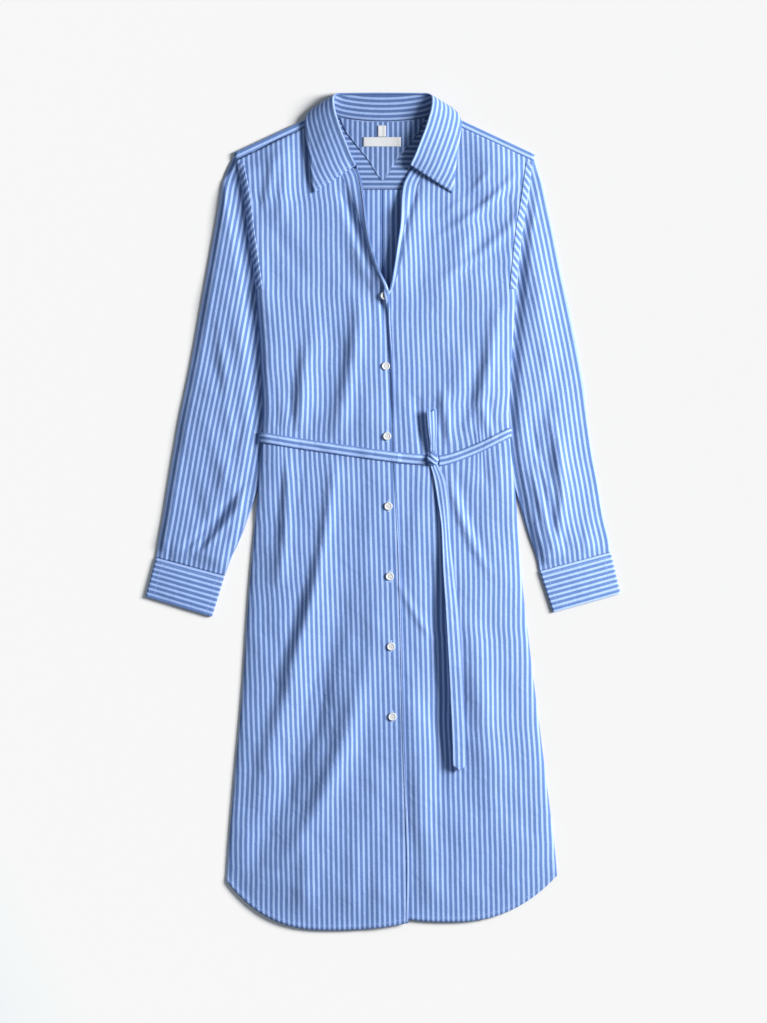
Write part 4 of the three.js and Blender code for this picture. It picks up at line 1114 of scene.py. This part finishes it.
def tube_grain(across, along, shift):
    """Stripes count one way under the tube and the other way on top, from its outer fold"""
    signed = np.where(np.arange(across.shape[1]) < TUBE_COLUMNS, -across, across)
    signed = np.concatenate([signed, across[:, :1]], axis=1)
    return np.stack([signed + shift, np.concatenate([along, along[:, :1]], axis=1)], axis=2)


print("loops have", 2 * TUBE_COLUMNS - 2, "points")

# %% [markdown]
# The top of a sleeve stands over its underside by the height of its folds. It is kept low where it
# slips under the body and where the cuff gathers it. Its stripes run along the arm.

# %% The two sleeves
def sleeve_table(side):
    """Station, outer fold's x and y, inner fold's x and y, from the armhole to the cuff"""
    out, under = (1, 4) if side < 0 else (2, 5)
    armhole = [float(body_edge(side, y)) + side * SLEEVE_GAP for y in ARMHOLE]
    table = [(0, armhole[0], ARMHOLE[0], armhole[1], ARMHOLE[1])]
    for k, row in enumerate(SLEEVE):
        inner_x = float(body_edge(side, row[3])) - side * row[under]
        table.append((k + 1, side * row[out], row[0], inner_x, row[3]))
    (outer_x, outer_y), (inner_x, inner_y) = CUFFS[side][:2]
    return table + [(len(SLEEVE) + 1, outer_x, outer_y + 0.3, inner_x, inner_y + 0.3)]


def sleeve_grain(loops, top, bottom, side):
    """Stripes run along the line from the shoulder to the cuff and bend with the outer fold"""
    axis = unit(bottom - top)
    normal = np.array([-axis[1], axis[0]]) * side
    rel = loops[..., :2] - top
    off, along = (rel * normal).sum(-1), (rel * axis).sum(-1)
    order = np.argsort(along[:, 0])
    bow = np.interp(along, along[order, 0], off[order, 0])
    return tube_grain(np.abs(off - 0.75 * bow), along, 2.0)


def make_sleeve(side):
    table = sleeve_table(side)
    last = len(table) - 1

    def ends(t):
        values = [float(through(table, t, k)) for k in (1, 2, 3, 4)]
        return values[:2], values[2:]

    def slipped(x, y, t):
        tuck = 4.6 * ease(498, 486, y) * ease(331, 356, y)
        armhole = body_edge(side, y) + side * SLEEVE_GAP
        w = float(ease(1, 0, t))
        return lerp(x, armhole, w) - side * tuck * w, y

    def roof(x, y, share, t):
        beyond = side * (x - body_edge(side, y))
        clear = ease(10, 26, beyond) if side < 0 else ease(2, 16, beyond)
        folds = ease(0, 0.1 if side < 0 else 0.45, share) * ease(0, 0.14, 1 - share)
        puff = 5.2 + fold_height(SLEEVE_FOLDS[side], x, y) + 0.9 * ripples(x, y, 3.0 + side)
        flat_end = float(ease(last, last - 0.9, t))
        puff = puff * flat_end + 1.4 * np.sin(math.pi * share) * (1 - flat_end)
        small = 1.4 * fold_height(SLEEVE_CREASES[side], x, y)
        return LAYER + WALL - 0.1 + np.maximum(puff + small, 0) * clear * folds

    stations = np.concatenate([np.linspace(0, 1, 12)[:-1], np.linspace(1, last, 132)])
    loops = flat_tube(ends, roof, stations, slipped)
    grain = sleeve_grain(loops, np.array(ends(0.6)[0]), np.array(ends(last)[0]), side)
    name = "sleeve_right" if side < 0 else "sleeve_left"
    tube = {"wrap": True, "offset": -1, "flip": side > 0}
    piece = make_cloth(name + "_cloth", loops, grain, poplin, **tube)
    return wear(piece, name)


sleeve_right = make_sleeve(-1)
sleeve_left = make_sleeve(1)
print("sleeves:", len(sleeve_right.data.polygons), "faces each")

# %% [markdown]
# The cuffs are flat doubled bands, sewn to the sleeve and open at the bottom. Their stripes run
# round the wrist. They are thicker than the sleeve, so their edges catch the light.

# %% Cuffs
def make_cuff(side):
    seam_out, seam_in, edge_out, edge_in = (np.array(p, float) for p in CUFFS[side])

    def ends(t):
        return lerp(seam_out, edge_out, t), lerp(seam_in, edge_in, t)

    def roof(x, y, share, t):
        swell = 1.2 * float(ease(0, 0.3, t) * ease(0, 0.2, 1 - t))
        return 3.9 + (0.4 + swell) * np.sin(math.pi * share) + 0.1 * ripples(x, y, 5.0)

    stations = np.concatenate([[0, 0.012, 0.03], np.linspace(0.06, 0.94, 22), [0.97, 0.988, 1]])
    loops = flat_tube(ends, roof, stations)
    height = np.hypot(*(edge_out - seam_out))
    down = np.broadcast_to((stations * height)[:, None], loops.shape[:2])
    round_wrist = ((loops[..., :2] - seam_out) * unit(seam_in - seam_out)).sum(-1)
    grain = tube_grain(round_wrist, down, 0)[..., ::-1] + [1.6, 0]
    name = "cuff_right" if side < 0 else "cuff_left"
    tube = {"wrap": True, "offset": -1, "flip": side > 0}
    piece = make_cloth(name + "_cloth", loops, grain, poplin, thickness=1.5, **tube)
    return wear(piece, name), loops


cuff_right, cuff_right_loops = make_cuff(-1)
cuff_left, cuff_left_loops = make_cuff(1)
print("cuffs made")

# %% [markdown]
# A narrow band is stitched down along each armhole, cut on the cross, so its stripes slant. It
# follows the front's edge one layer up.

# %% Armhole bands
def make_armhole_band(side):
    over = side < 0
    y = np.linspace(312, 489.5, 60)
    rows = []
    for offset in np.linspace(0.6, 10.2, 7):
        x = body_edge(side, y) - side * offset
        rows.append(np.stack([x, y, front_top(x, y, over) + 0.3], axis=1))
    grid = np.array(rows)
    slant = grid[..., 0] * 0.8 + side * grid[..., 1] * 0.6
    grain = np.stack([slant, grid[..., 1]], axis=2)
    name = "armhole_band_right" if over else "armhole_band_left"
    return wear(make_cloth(name + "_cloth", grid, grain, poplin, thickness=0.45, flip=over), name)


armhole_right = make_armhole_band(-1)
armhole_left = make_armhole_band(1)
print("armhole bands made")

# %% [markdown]
# The belt is a narrow strap. Round the waist it is drawn up to 15 mm; it passes behind the back
# under the cloth, and its two ends leave the knot, one short and upright, one long with a twist.
# Each is a strip along a path with its own width and tilt. The stripes run along the strap.

# %% Belt
TAIL = [
    # share of the length, x, y, width, lift above the front, tilt
    (0.00, 71, 67, 11, 1.4, 0), (0.04, 78.5, 47, 16, 1.8, 4), (0.11, 83.5, 17, 16, 2.2, 9),
    (0.19, 87, -18, 13, 2.8, 15), (0.27, 89, -50, 14, 3.4, 17), (0.35, 91.5, -84, 17, 4.6, 18),
    (0.45, 95, -125, 19, 6.2, 18), (0.56, 98, -170, 20, 7.4, 17), (0.68, 101, -220, 20, 7.8, 16),
    (0.80, 103.5, -270, 20, 7.6, 15), (0.91, 105.5, -318, 20, 6.8, 14), (1.00, 106.5, -354, 19.5, 5.6, 12),
]
SHORT_END = [
    (0.0, 69.5, 84, 9, 4.2, 0), (0.2, 69.5, 97, 9, 4.4, 8), (0.5, 68.8, 114, 13, 4.6, 14),
    (0.8, 68, 131, 14, 5.0, 16), (1.0, 67.4, 144.5, 14, 5.4, 14),
]
BELT_WIDTH = 15.0
BELT_THICKNESS = 1.1
BEHIND_LIFT = 0.65
RIGHT_STEPS, BACK_STEPS, LEFT_STEPS = 78, 60, 36


def on_fronts(x, y, over):
    """Middle of the strap's thickness where it lies on the fronts, with room for its waves"""
    return front_top(x, y, over) + 1.2


def strap_grain(grid, width, phase):
    share = np.linspace(-0.5, 0.5, grid.shape[1])[None, :]
    across = share * width + phase + 0 * grid[..., 0]
    return np.stack([across, run_length(grid, axis=0)], axis=2)


def make_waist_belt():
    shares = np.linspace(-0.5, 0.5, 9)

    def in_front(x, y):
        waves = 0.35 * np.cos(2 * math.pi * shares) + 0.15 * np.sin(x / 7.0 + shares * 5)
        return on_fronts(x, y, x[0] < 24) + waves

    def behind(x, y):
        return sleeve_lift(x, y) + BEHIND_LIFT

    def round_side(side):
        middle = float(belt_behind(body_edge(side, WAIST)))
        reach = [abs(body_edge(side, middle + t * BELT_WIDTH)) for t in (-0.5, 0, 0.5)]
        edge = float(max(reach)) * side
        high = float(on_fronts(edge, middle, side < 0))
        low = float(behind(edge, middle))
        points = []
        for degrees in np.linspace(80, -80, 9):
            a = math.radians(degrees)
            z = (high + low) / 2 + (high - low - 0.3) / 2 * math.sin(a)
            points.append((edge + side * (0.8 + 1.2 * math.cos(a)), middle, z))
        return points if side < 0 else points[::-1]

    path = [(x, belt_line(x), in_front) for x in np.linspace(60.2, -167, RIGHT_STEPS)]
    path += round_side(-1)
    path += [(x, belt_behind(x), behind) for x in np.linspace(-164, 172, BACK_STEPS)]
    path += round_side(1)
    path += [(x, belt_line(x), in_front) for x in np.linspace(175, 77.8, LEFT_STEPS)]
    rows = []
    for place, middle, height in path:
        y = middle + shares * BELT_WIDTH
        x = np.full_like(y, place)
        z = height(x, y) if callable(height) else np.full_like(y, height)
        rows.append(np.stack([x, y, z], axis=1))
    grid = np.array(rows)
    grain = strap_grain(grid, BELT_WIDTH, 0.0)
    piece = make_cloth("belt_cloth", grid, grain, belt_poplin, thickness=BELT_THICKNESS)
    return wear(piece, "belt"), grid


def make_strap_end(node_name, table, cut, count, phase):
    """A free end of the strap; cut is how far its point stands out past its corners"""
    t = np.linspace(0, 1, count)
    x, y, width, lift, tilt = (through(table, t, k) for k in (1, 2, 3, 4, 5))
    heading = 1 if y[-1] > y[0] else -1
    a = np.radians(tilt)
    shares = np.linspace(-0.5, 0.5, 11)
    bow = 0.5 * np.cos(math.pi * shares)
    rows = []
    for k in range(count):
        px = x[k] + shares * width[k] * math.cos(a[k])
        py = y[k] + heading * cut * (1 - 2 * np.abs(shares)) * float(ease(0.93, 1, t[k]))
        pz = front_top(px, py, False) + lift[k] - shares * width[k] * math.sin(a[k]) + bow
        rows.append(np.stack([px, py, pz], axis=1))
    grid = np.array(rows)
    finish = {"thickness": BELT_THICKNESS, "flip": heading < 0}
    piece = make_cloth(node_name + "_cloth", grid, strap_grain(grid, 20, phase), belt_poplin, **finish)
    return wear(piece, node_name), grid


belt_poplin = striped_poplin("belt_poplin", crinkle=0.9)
belt, belt_grid = make_waist_belt()
tail, tail_grid = make_strap_end("belt_tail", TAIL, 8, 120, 3.5)
short_end, short_grid = make_strap_end("belt_short_end", SHORT_END, -5, 40, 0.0)
print("belt end hangs", round(float(run_length(tail_grid, axis=0)[-1, 5])), "mm below the knot")

# %% [markdown]
# The knot is small and flat: the strap folds into a lump, and passes over itself once from upper
# left to lower right. A squared-off ball with a short arched strap laid across it gives both.

# %% Knot
KNOT_AT = np.array([69.5, 74.0])
KNOT_REST = float(front_top(*KNOT_AT, False)) + 0.6


def make_knot():
    """A squared-off ball with two dents along the way the strap crosses it"""
    rx, ry, rz = 7.8, 8.8, 3.6
    theta = np.linspace(0, 2 * math.pi, 49)[:-1]
    rows = []
    for phi in np.linspace(-math.pi / 2 + 0.02, math.pi / 2 - 0.02, 33):
        ball = [np.cos(phi) * np.cos(theta), np.cos(phi) * np.sin(theta), np.sin(phi) + 0 * theta]
        px, py, pz = (np.sign(v) * np.abs(v) ** 0.72 * r for v, r in zip(ball, (rx, ry, rz)))
        slant = px * 0.35 + py * 0.94
        upper = 0.22 * np.exp(-(((slant - 5.4) / 1.5) ** 2))
        lower = 0.2 * np.exp(-(((slant + 5.6) / 1.5) ** 2))
        pz = pz * np.where(pz > 0, 1 - upper - lower, 1)
        rows.append(np.stack([KNOT_AT[0] + px, KNOT_AT[1] + py, KNOT_REST + rz + pz], axis=1))
    loops = np.array(rows)
    around = np.concatenate([loops, loops[:, :1]], axis=1)
    across = (around[..., 1] - KNOT_AT[1]) * 0.94 + (around[..., 0] - KNOT_AT[0]) * 0.35
    grain = np.stack([across, around[..., 0]], axis=2)
    piece = make_cloth("belt_knot_cloth", loops, grain, belt_poplin, thickness=0.6, wrap=True, offset=-1)
    return wear(piece, "belt_knot")


def make_knot_wrap():
    """The strap that goes over the knot, down to the cloth on both sides"""
    s, w = np.meshgrid(np.linspace(-1, 1, 33), np.linspace(-0.5, 0.5, 13), indexing="ij")
    angle = s * math.radians(104)
    reach = 7.6 * np.sin(angle)
    bulge = 0.5 * np.cos(math.pi * w) + 0.35 * np.sin(9 * w + 2 * s)
    arch = KNOT_REST + 3.4 + 5.0 * np.cos(angle) + bulge
    across = w * lerp(10.5, 7.5, s * s)
    x = KNOT_AT[0] + 0.80 * reach + 0.60 * across
    y = KNOT_AT[1] + 0.4 - 0.60 * reach + 0.80 * across
    grid = np.stack([x, y, arch], axis=2)
    grain = np.stack([across * 1.3, run_length(grid, axis=0)], axis=2)
    return wear(make_cloth("belt_knot_wrap", grid, grain, belt_poplin, thickness=0.9))


make_knot()
make_knot_wrap()

# %% [markdown]
# The buttons are turned from cream resin with a raised rim and four holes. A button could be a disc
# with a picture on it; here its profile is spun as on a lathe and its holes are cut, so that rim and
# holes throw real shadows.

# %% One button
BUTTON_PROFILE = [
    # radius and height, from the back of the button over its rim to its dished face
    (0.0, 0.0), (4.9, 0.0), (5.5, 0.3), (BUTTON_RADIUS, 0.9), (5.7, 1.5), (5.3, 2.05), (4.75, 2.3),
    (4.2, 2.15), (3.8, 1.75), (3.2, 1.6), (0.0, 1.6),
]
HOLE_OUT = 1.15
HOLE_RADIUS = 0.55
RESIN = (0.57, 0.567, 0.55)


def button_blank():
    mesh = bpy.data.meshes.new("shirt_button")
    shape = bmesh.new()
    ring = [shape.verts.new((x * MM, 0, z * MM)) for x, z in BUTTON_PROFILE]
    edges = [shape.edges.new(pair) for pair in zip(ring[:-1], ring[1:])]
    bmesh.ops.spin(shape, geom=ring + edges, cent=(0, 0, 0), axis=(0, 0, 1), angle=2 * math.pi, steps=40)
    bmesh.ops.remove_doubles(shape, verts=shape.verts, dist=1e-6)
    bmesh.ops.recalc_face_normals(shape, faces=shape.faces)
    shape.to_mesh(mesh)
    shape.free()
    mesh.materials.append(resin)
    blank = bpy.data.objects.new("button_blank", mesh)
    bpy.context.scene.collection.objects.link(blank)
    return blank


def make_button_mesh():
    blank = button_blank()
    cutters = []
    for x, y in ((1, 1), (1, -1), (-1, 1), (-1, -1)):
        place = (x * HOLE_OUT * MM, y * HOLE_OUT * MM, 1 * MM)
        size = {"radius": HOLE_RADIUS * MM, "depth": 6 * MM}
        bpy.ops.mesh.primitive_cylinder_add(vertices=14, location=place, **size)
        cutter = bpy.context.object
        cut = blank.modifiers.new("hole", "BOOLEAN")
        cut.operation = "DIFFERENCE"
        cut.object = cutter
        cutters.append(cutter)
    bpy.context.view_layer.update()
    evaluated = blank.evaluated_get(bpy.context.evaluated_depsgraph_get())
    finished = bpy.data.meshes.new_from_object(evaluated)
    finished.name = "shirt_button_with_holes"
    for polygon in finished.polygons:
        polygon.use_smooth = abs(polygon.normal.z) < 0.999
    for thing in [blank, *cutters]:
        bpy.data.objects.remove(thing, do_unlink=True)
    return finished


def resin_finish():
    material, shader = principled("cream_resin", RESIN, 0.32)
    tree = material.node_tree
    cloud = spread(tree, noise(tree, object_place(tree), 260, 3), 0.94, 1.05)
    tone = node(tree, "ShaderNodeHueSaturation", {"Color": (*RESIN, 1), "Value": cloud})
    feed(shader, {"Base Color": tone.outputs[0]})
    return material


def thread_finish(name, colour):
    material, shader = principled(name, colour, 0.7)
    tree = material.node_tree
    wave = {"Vector": object_place(tree), "Scale": 900}
    twist = node(tree, "ShaderNodeTexWave", wave, bands_direction="DIAGONAL").outputs["Fac"]
    feed(shader, {"Normal": bump(tree, twist, 0.4, 0.0001)})
    return material


resin = resin_finish()
white_thread = thread_finish("white_thread", (0.8, 0.84, 0.92))
button_mesh = make_button_mesh()
print("one button:", len(button_mesh.polygons), "faces")

# %% [markdown]
# Seven buttons sit 98 mm apart down the front, each on the highest cloth under its rim. They could
# share one mesh, but each gets a copy, so that every button is a piece of its own.

# %% Seven buttons
BUTTON_COUNT = 7
BUTTON_PITCH = 98
LOWEST_BUTTON_X = 13
BUTTONS = []
for k in range(BUTTON_COUNT):
    x = lerp(TOP_BUTTON[0], LOWEST_BUTTON_X, k / (BUTTON_COUNT - 1))
    y = TOP_BUTTON[1] - BUTTON_PITCH * k
    seat = button_seat(x, y) + 0.1
    button = bpy.data.objects.new(f"shirt_button_{k + 1}", button_mesh.copy())
    button.data.transform(Matrix.Translation((x * MM, y * MM, seat * MM)))
    bpy.context.scene.collection.objects.link(button)
    wear(button, f"button_{k + 1}", slot="button")
    BUTTONS.append((x, y, seat))
print("buttons:", len(BUTTONS))

# %% [markdown]
# The label and the hanging loop are plain woven tape, left blank. They lie on the patch behind the
# neck. A close rib in the bump reads as woven satin.

# %% Label and loop
def tape_finish():
    # the tape is white; its mid grey is painted shade, for where it lies inside the neck
    material, shader = principled("white_tape_in_painted_shade", (0.52, 0.52, 0.52), 0.6)
    tree = material.node_tree
    along = across_and_along(tree, grain_place(tree))[1]
    rib = maths(tree, "SINE", maths(tree, "MULTIPLY", along, 2 * math.pi * 1000 / 0.8))
    feed(shader, {"Normal": bump(tree, rib, 0.35, 0.0001)})
    return material


def make_tape(name, x0, x1, y0, y1, node_name):
    x, y = np.meshgrid(np.linspace(x0, x1, 25), np.linspace(y0, y1, 13))
    z = patch_top(x, y) + 0.7 + 0.12 * np.sin((x - x0) / (x1 - x0) * math.pi * 3)
    grid = np.stack([x, y, z], axis=2)
    grain = np.stack([x, y], axis=2)
    return wear(make_cloth(name, grid, grain, tape, thickness=0.55), node_name, slot="tape")


tape = tape_finish()
label = make_tape("blank_label", -28, 25, 512, 525, "neck_label")
loop = make_tape("plain_loop", -7, 4, 525.5, 541, "hanger_loop")
print("label and loop made")

# %% [markdown]
# Stitches make cloth look sewn. Each is a small raised dash, 2.2 mm long, with a short gap before
# the next. They could be painted in a texture; as geometry they catch the light and hold up in a
# close view. One function lays them along any path, given as points on the cloth.

# %% Making stitches
STITCH = {"pitch": 3.1, "length": 2.2, "width": 0.42, "height": 0.28}


def stitch_row(path, pitch, length, width, height):
    """Corner points of each raised dash along a path: four on the cloth and four on top"""
    path = np.asarray(path, float)
    reach = np.concatenate([[0], np.cumsum(np.linalg.norm(np.diff(path, axis=0), axis=1))])
    starts = np.arange(0.3, reach[-1] - length + 0.01, pitch)
    a, b = (np.stack([np.interp(at, reach, path[:, k]) for k in range(3)], axis=1)
            for at in (starts, starts + length))
    out = unit(np.cross([0.0, 0.0, 1.0], b - a)) * width / 2
    low, high = (lerp(a, b, t) + [0, 0, height] for t in (0.16, 0.84))
    top = [low - out * 0.55, low + out * 0.55, high + out * 0.55, high - out * 0.55]
    return np.stack([a - out, a + out, b + out, b - out, *top], axis=1).reshape(-1, 3)


def sew(name, paths, thread, **sizes):
    points = np.concatenate([stitch_row(path, **{**STITCH, **sizes}) for path in paths])
    block = np.array([(0, 3, 2, 1), (4, 5, 6, 7), (0, 1, 5, 4), (1, 2, 6, 5), (2, 3, 7, 6), (3, 0, 4, 7)])
    faces = (np.arange(0, len(points), 8)[:, None, None] + block).reshape(-1, 4)
    mesh = bpy.data.meshes.new(name)
    mesh.from_pydata((points * MM).tolist(), [], faces.tolist())
    mesh.materials.append(thread)
    piece = bpy.data.objects.new(name, mesh)
    bpy.context.scene.collection.objects.link(piece)
    print(name, len(faces) // 6)
    return wear(piece)


def on_cloth(x, y, z):
    return np.stack(np.broadcast_arrays(x, y, z), axis=1)


def raised(path, height):
    return path + np.array([0, 0, height])


pale_thread = thread_finish("pale_thread", (0.42, 0.56, 0.86))

# %% [markdown]
# The turned hem is sewn 6 mm above the edge. The two points of the collar are sewn 5 mm inside their
# edges; behind the neck the fall lies underneath, so nothing is sewn there.

# %% Stitches of the hem and collar
HEM_UP = 6.2
LEAF_IN = 4.6
hems = []
for over, x in ((True, np.linspace(-218, 31, 160)), (False, np.linspace(39, 243, 140))):
    y = hem(x, over) + HEM_UP
    hems.append(on_cloth(x, y, front_top(x, y, over) + 0.02))
sew("hem_stitches", hems, pale_thread)

POINT_ROWS = 36
leaf = []
for rows in (slice(0, POINT_ROWS), slice(COLLAR_ROWS - POINT_ROWS, COLLAR_ROWS)):
    edge, inner = collar_grid[rows, -1], collar_grid[rows, -4]
    leaf.append(raised(edge + LEAF_IN * unit(inner - edge), 0.6))
for end, inside in ((0, 2), (-1, -3)):
    edge, inner = collar_grid[end, 10:-1], collar_grid[inside, 10:-1]
    leaf.append(raised(edge + LEAF_IN * unit(inner - edge), 0.62))
sew("collar_stitches", leaf, pale_thread)

# %% [markdown]
# Inside the neck, one row closes the lower edge of the inner yoke and one runs down each side of the
# patch. Each shoulder has a row on its front band, and each armhole band a row along both edges.

# %% Stitches of the neck, shoulders and armholes
across_neck = np.linspace(-62, 62, 60)
yoke_seam = back_lift(across_neck, 453.4) + LAYER + WALL / 2 + 0.42
inside_neck = [on_cloth(across_neck, 453.4, yoke_seam)]
for side in (-1, 1):
    low = np.linspace(470, 536, 40)
    x = PLEAT_X + side * (through(PATCH, low) - 2.2)
    inside_neck.append(on_cloth(x, low, patch_top(x, low) - 0.12))
sew("neck_stitches", inside_neck, pale_thread)

shoulders = []
for side in (-1, 1):
    x = side * np.linspace(NECK_CORNER + 26, 205, 60)
    y = shoulder_fold(x) - YOKE_BAND + 1.9
    shoulders.append(on_cloth(x, y, back_lift(x, y) + WALL / 2 + 2 * LAYER + 0.5))
    y = np.linspace(314, 486, 80)
    for offset in (1.5, 9.2):
        x = body_edge(side, y) - side * offset
        shoulders.append(on_cloth(x, y, front_top(x, y, side < 0) + 0.55))
sew("armhole_and_shoulder_stitches", shoulders, pale_thread)

# %% [markdown]
# The cuffs are sewn all round, and the strap along both edges except where the knot holds it. The
# paths are rows and columns of the grids that made the pieces, so the stitches lie on the cloth.

# %% Stitches of the cuffs and belt
cuff_paths = []
for loops in (cuff_right_loops, cuff_left_loops):
    upper = raised(loops[:, TUBE_COLUMNS + 1 : -2], 0.02)
    cuff_paths += [upper[4], upper[-5], upper[4:-4, 4], upper[4:-4, -5]]
sew("cuff_stitches", cuff_paths, pale_thread)

belt_paths = []
for rows in (slice(0, RIGHT_STEPS), slice(len(belt_grid) - LEFT_STEPS, len(belt_grid))):
    belt_paths += [raised(belt_grid[rows, column], 0.58) for column in (1, 7)]
for grid in (tail_grid, short_grid):
    belt_paths += [raised(grid[2:-6, column], 0.6) for column in (1, 9)]
sew("belt_stitches", belt_paths, pale_thread)

# %% [markdown]
# Each buttonhole is an upright slit behind its button, bound in satin stitch; only its two ends
# show above and below the button, and the top one is hidden by the rolled edge. Two stitches of
# thread run through the button's four holes.

# %% Buttonholes and button thread
HOLE_HALF = 8.6
THREAD_HEIGHT = 1.62
holes, threads = [], []
for k, (x, y, seat) in enumerate(BUTTONS):
    up = np.linspace(y - HOLE_HALF, y + HOLE_HALF, 24)
    if k:
        holes += [on_cloth(x + dx, up, front_top(x + dx, up, True) + 0.02) for dx in (-0.75, 0.75)]
    over_holes = np.array([y - 1.5, y + 1.5])
    threads += [on_cloth(x + dx, over_holes, seat + THREAD_HEIGHT) for dx in (-HOLE_OUT, HOLE_OUT)]
sew("buttonhole_stitches", holes, pale_thread, pitch=1.0, length=0.9, width=1.1, height=0.35)
sew("button_threads", threads, white_thread, pitch=9, length=2.3, width=0.7, height=0.5)

# %% [markdown]
# Every piece is cloth cut flat. Its cut is listed here: the width and length of the smallest
# rectangle it can be cut from, the pieces it lies on and, where it isn't a rectangle, its own area.
# For the sleeves, cuffs and belt this is the cut of the whole tube or loop that shows. Nothing here
# records the list; the loop prints the area of cloth in each piece's mesh.

# %% Cut sizes of the cloth
def one_side(piece):
    shape = bmesh.new()
    shape.from_mesh(piece.data)
    total = sum(face.calc_area() for face in shape.faces)
    shape.free()
    return total


for piece, cut, lies_on, area in [
    (front_right, (282, 1080), ["back_cloth"], 0.232),
    (front_left, (272, 1080), ["back_cloth"], 0.222),
    (back, (560, 1035), [], 0.41),
    (yoke, (422, 135), [], 0.042),
    (inner_yoke, (392, 108), ["yoke_cloth"], 0.035),
    (patch, (130, 84), ["inner_yoke_cloth"], 0.0056),
    (collar_stand, (325, 30), ["inner_yoke_cloth"], 0.0075),
    (collar, (400, 76), ["front_right_cloth", "front_left_cloth"], 0.0205),
    (sleeve_right, (310, 600), [], 0.115),
    (sleeve_left, (310, 600), [], 0.11),
    (cuff_right, (205, 60), [], None),
    (cuff_left, (205, 60), [], None),
    (armhole_right, (11, 185), ["front_right_cloth"], None),
    (armhole_left, (11, 185), ["front_left_cloth"], None),
    (belt, (15, 740), ["front_right_cloth"], None),
    (tail, (20, 430), ["front_left_cloth"], None),
    (short_end, (13, 60), ["front_left_cloth"], None),
    (label, (53, 13), ["neck_patch_cloth"], None),
    (loop, (11, 15.5), ["neck_patch_cloth"], None),
]:
    print(piece.name, "has", round(one_side(piece), 4), "square metres of cloth")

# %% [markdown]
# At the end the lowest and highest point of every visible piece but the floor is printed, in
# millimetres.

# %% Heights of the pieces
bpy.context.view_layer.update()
depsgraph = bpy.context.evaluated_depsgraph_get()
for thing in bpy.context.scene.objects:
    if thing.type == "MESH" and thing.visible_get() and thing.name != "studio_floor":
        heights = [v.co.z * 1000 for v in thing.evaluated_get(depsgraph).data.vertices]
        print(thing.name, "lies between", round(min(heights), 2), "and", round(max(heights), 2), "mm")
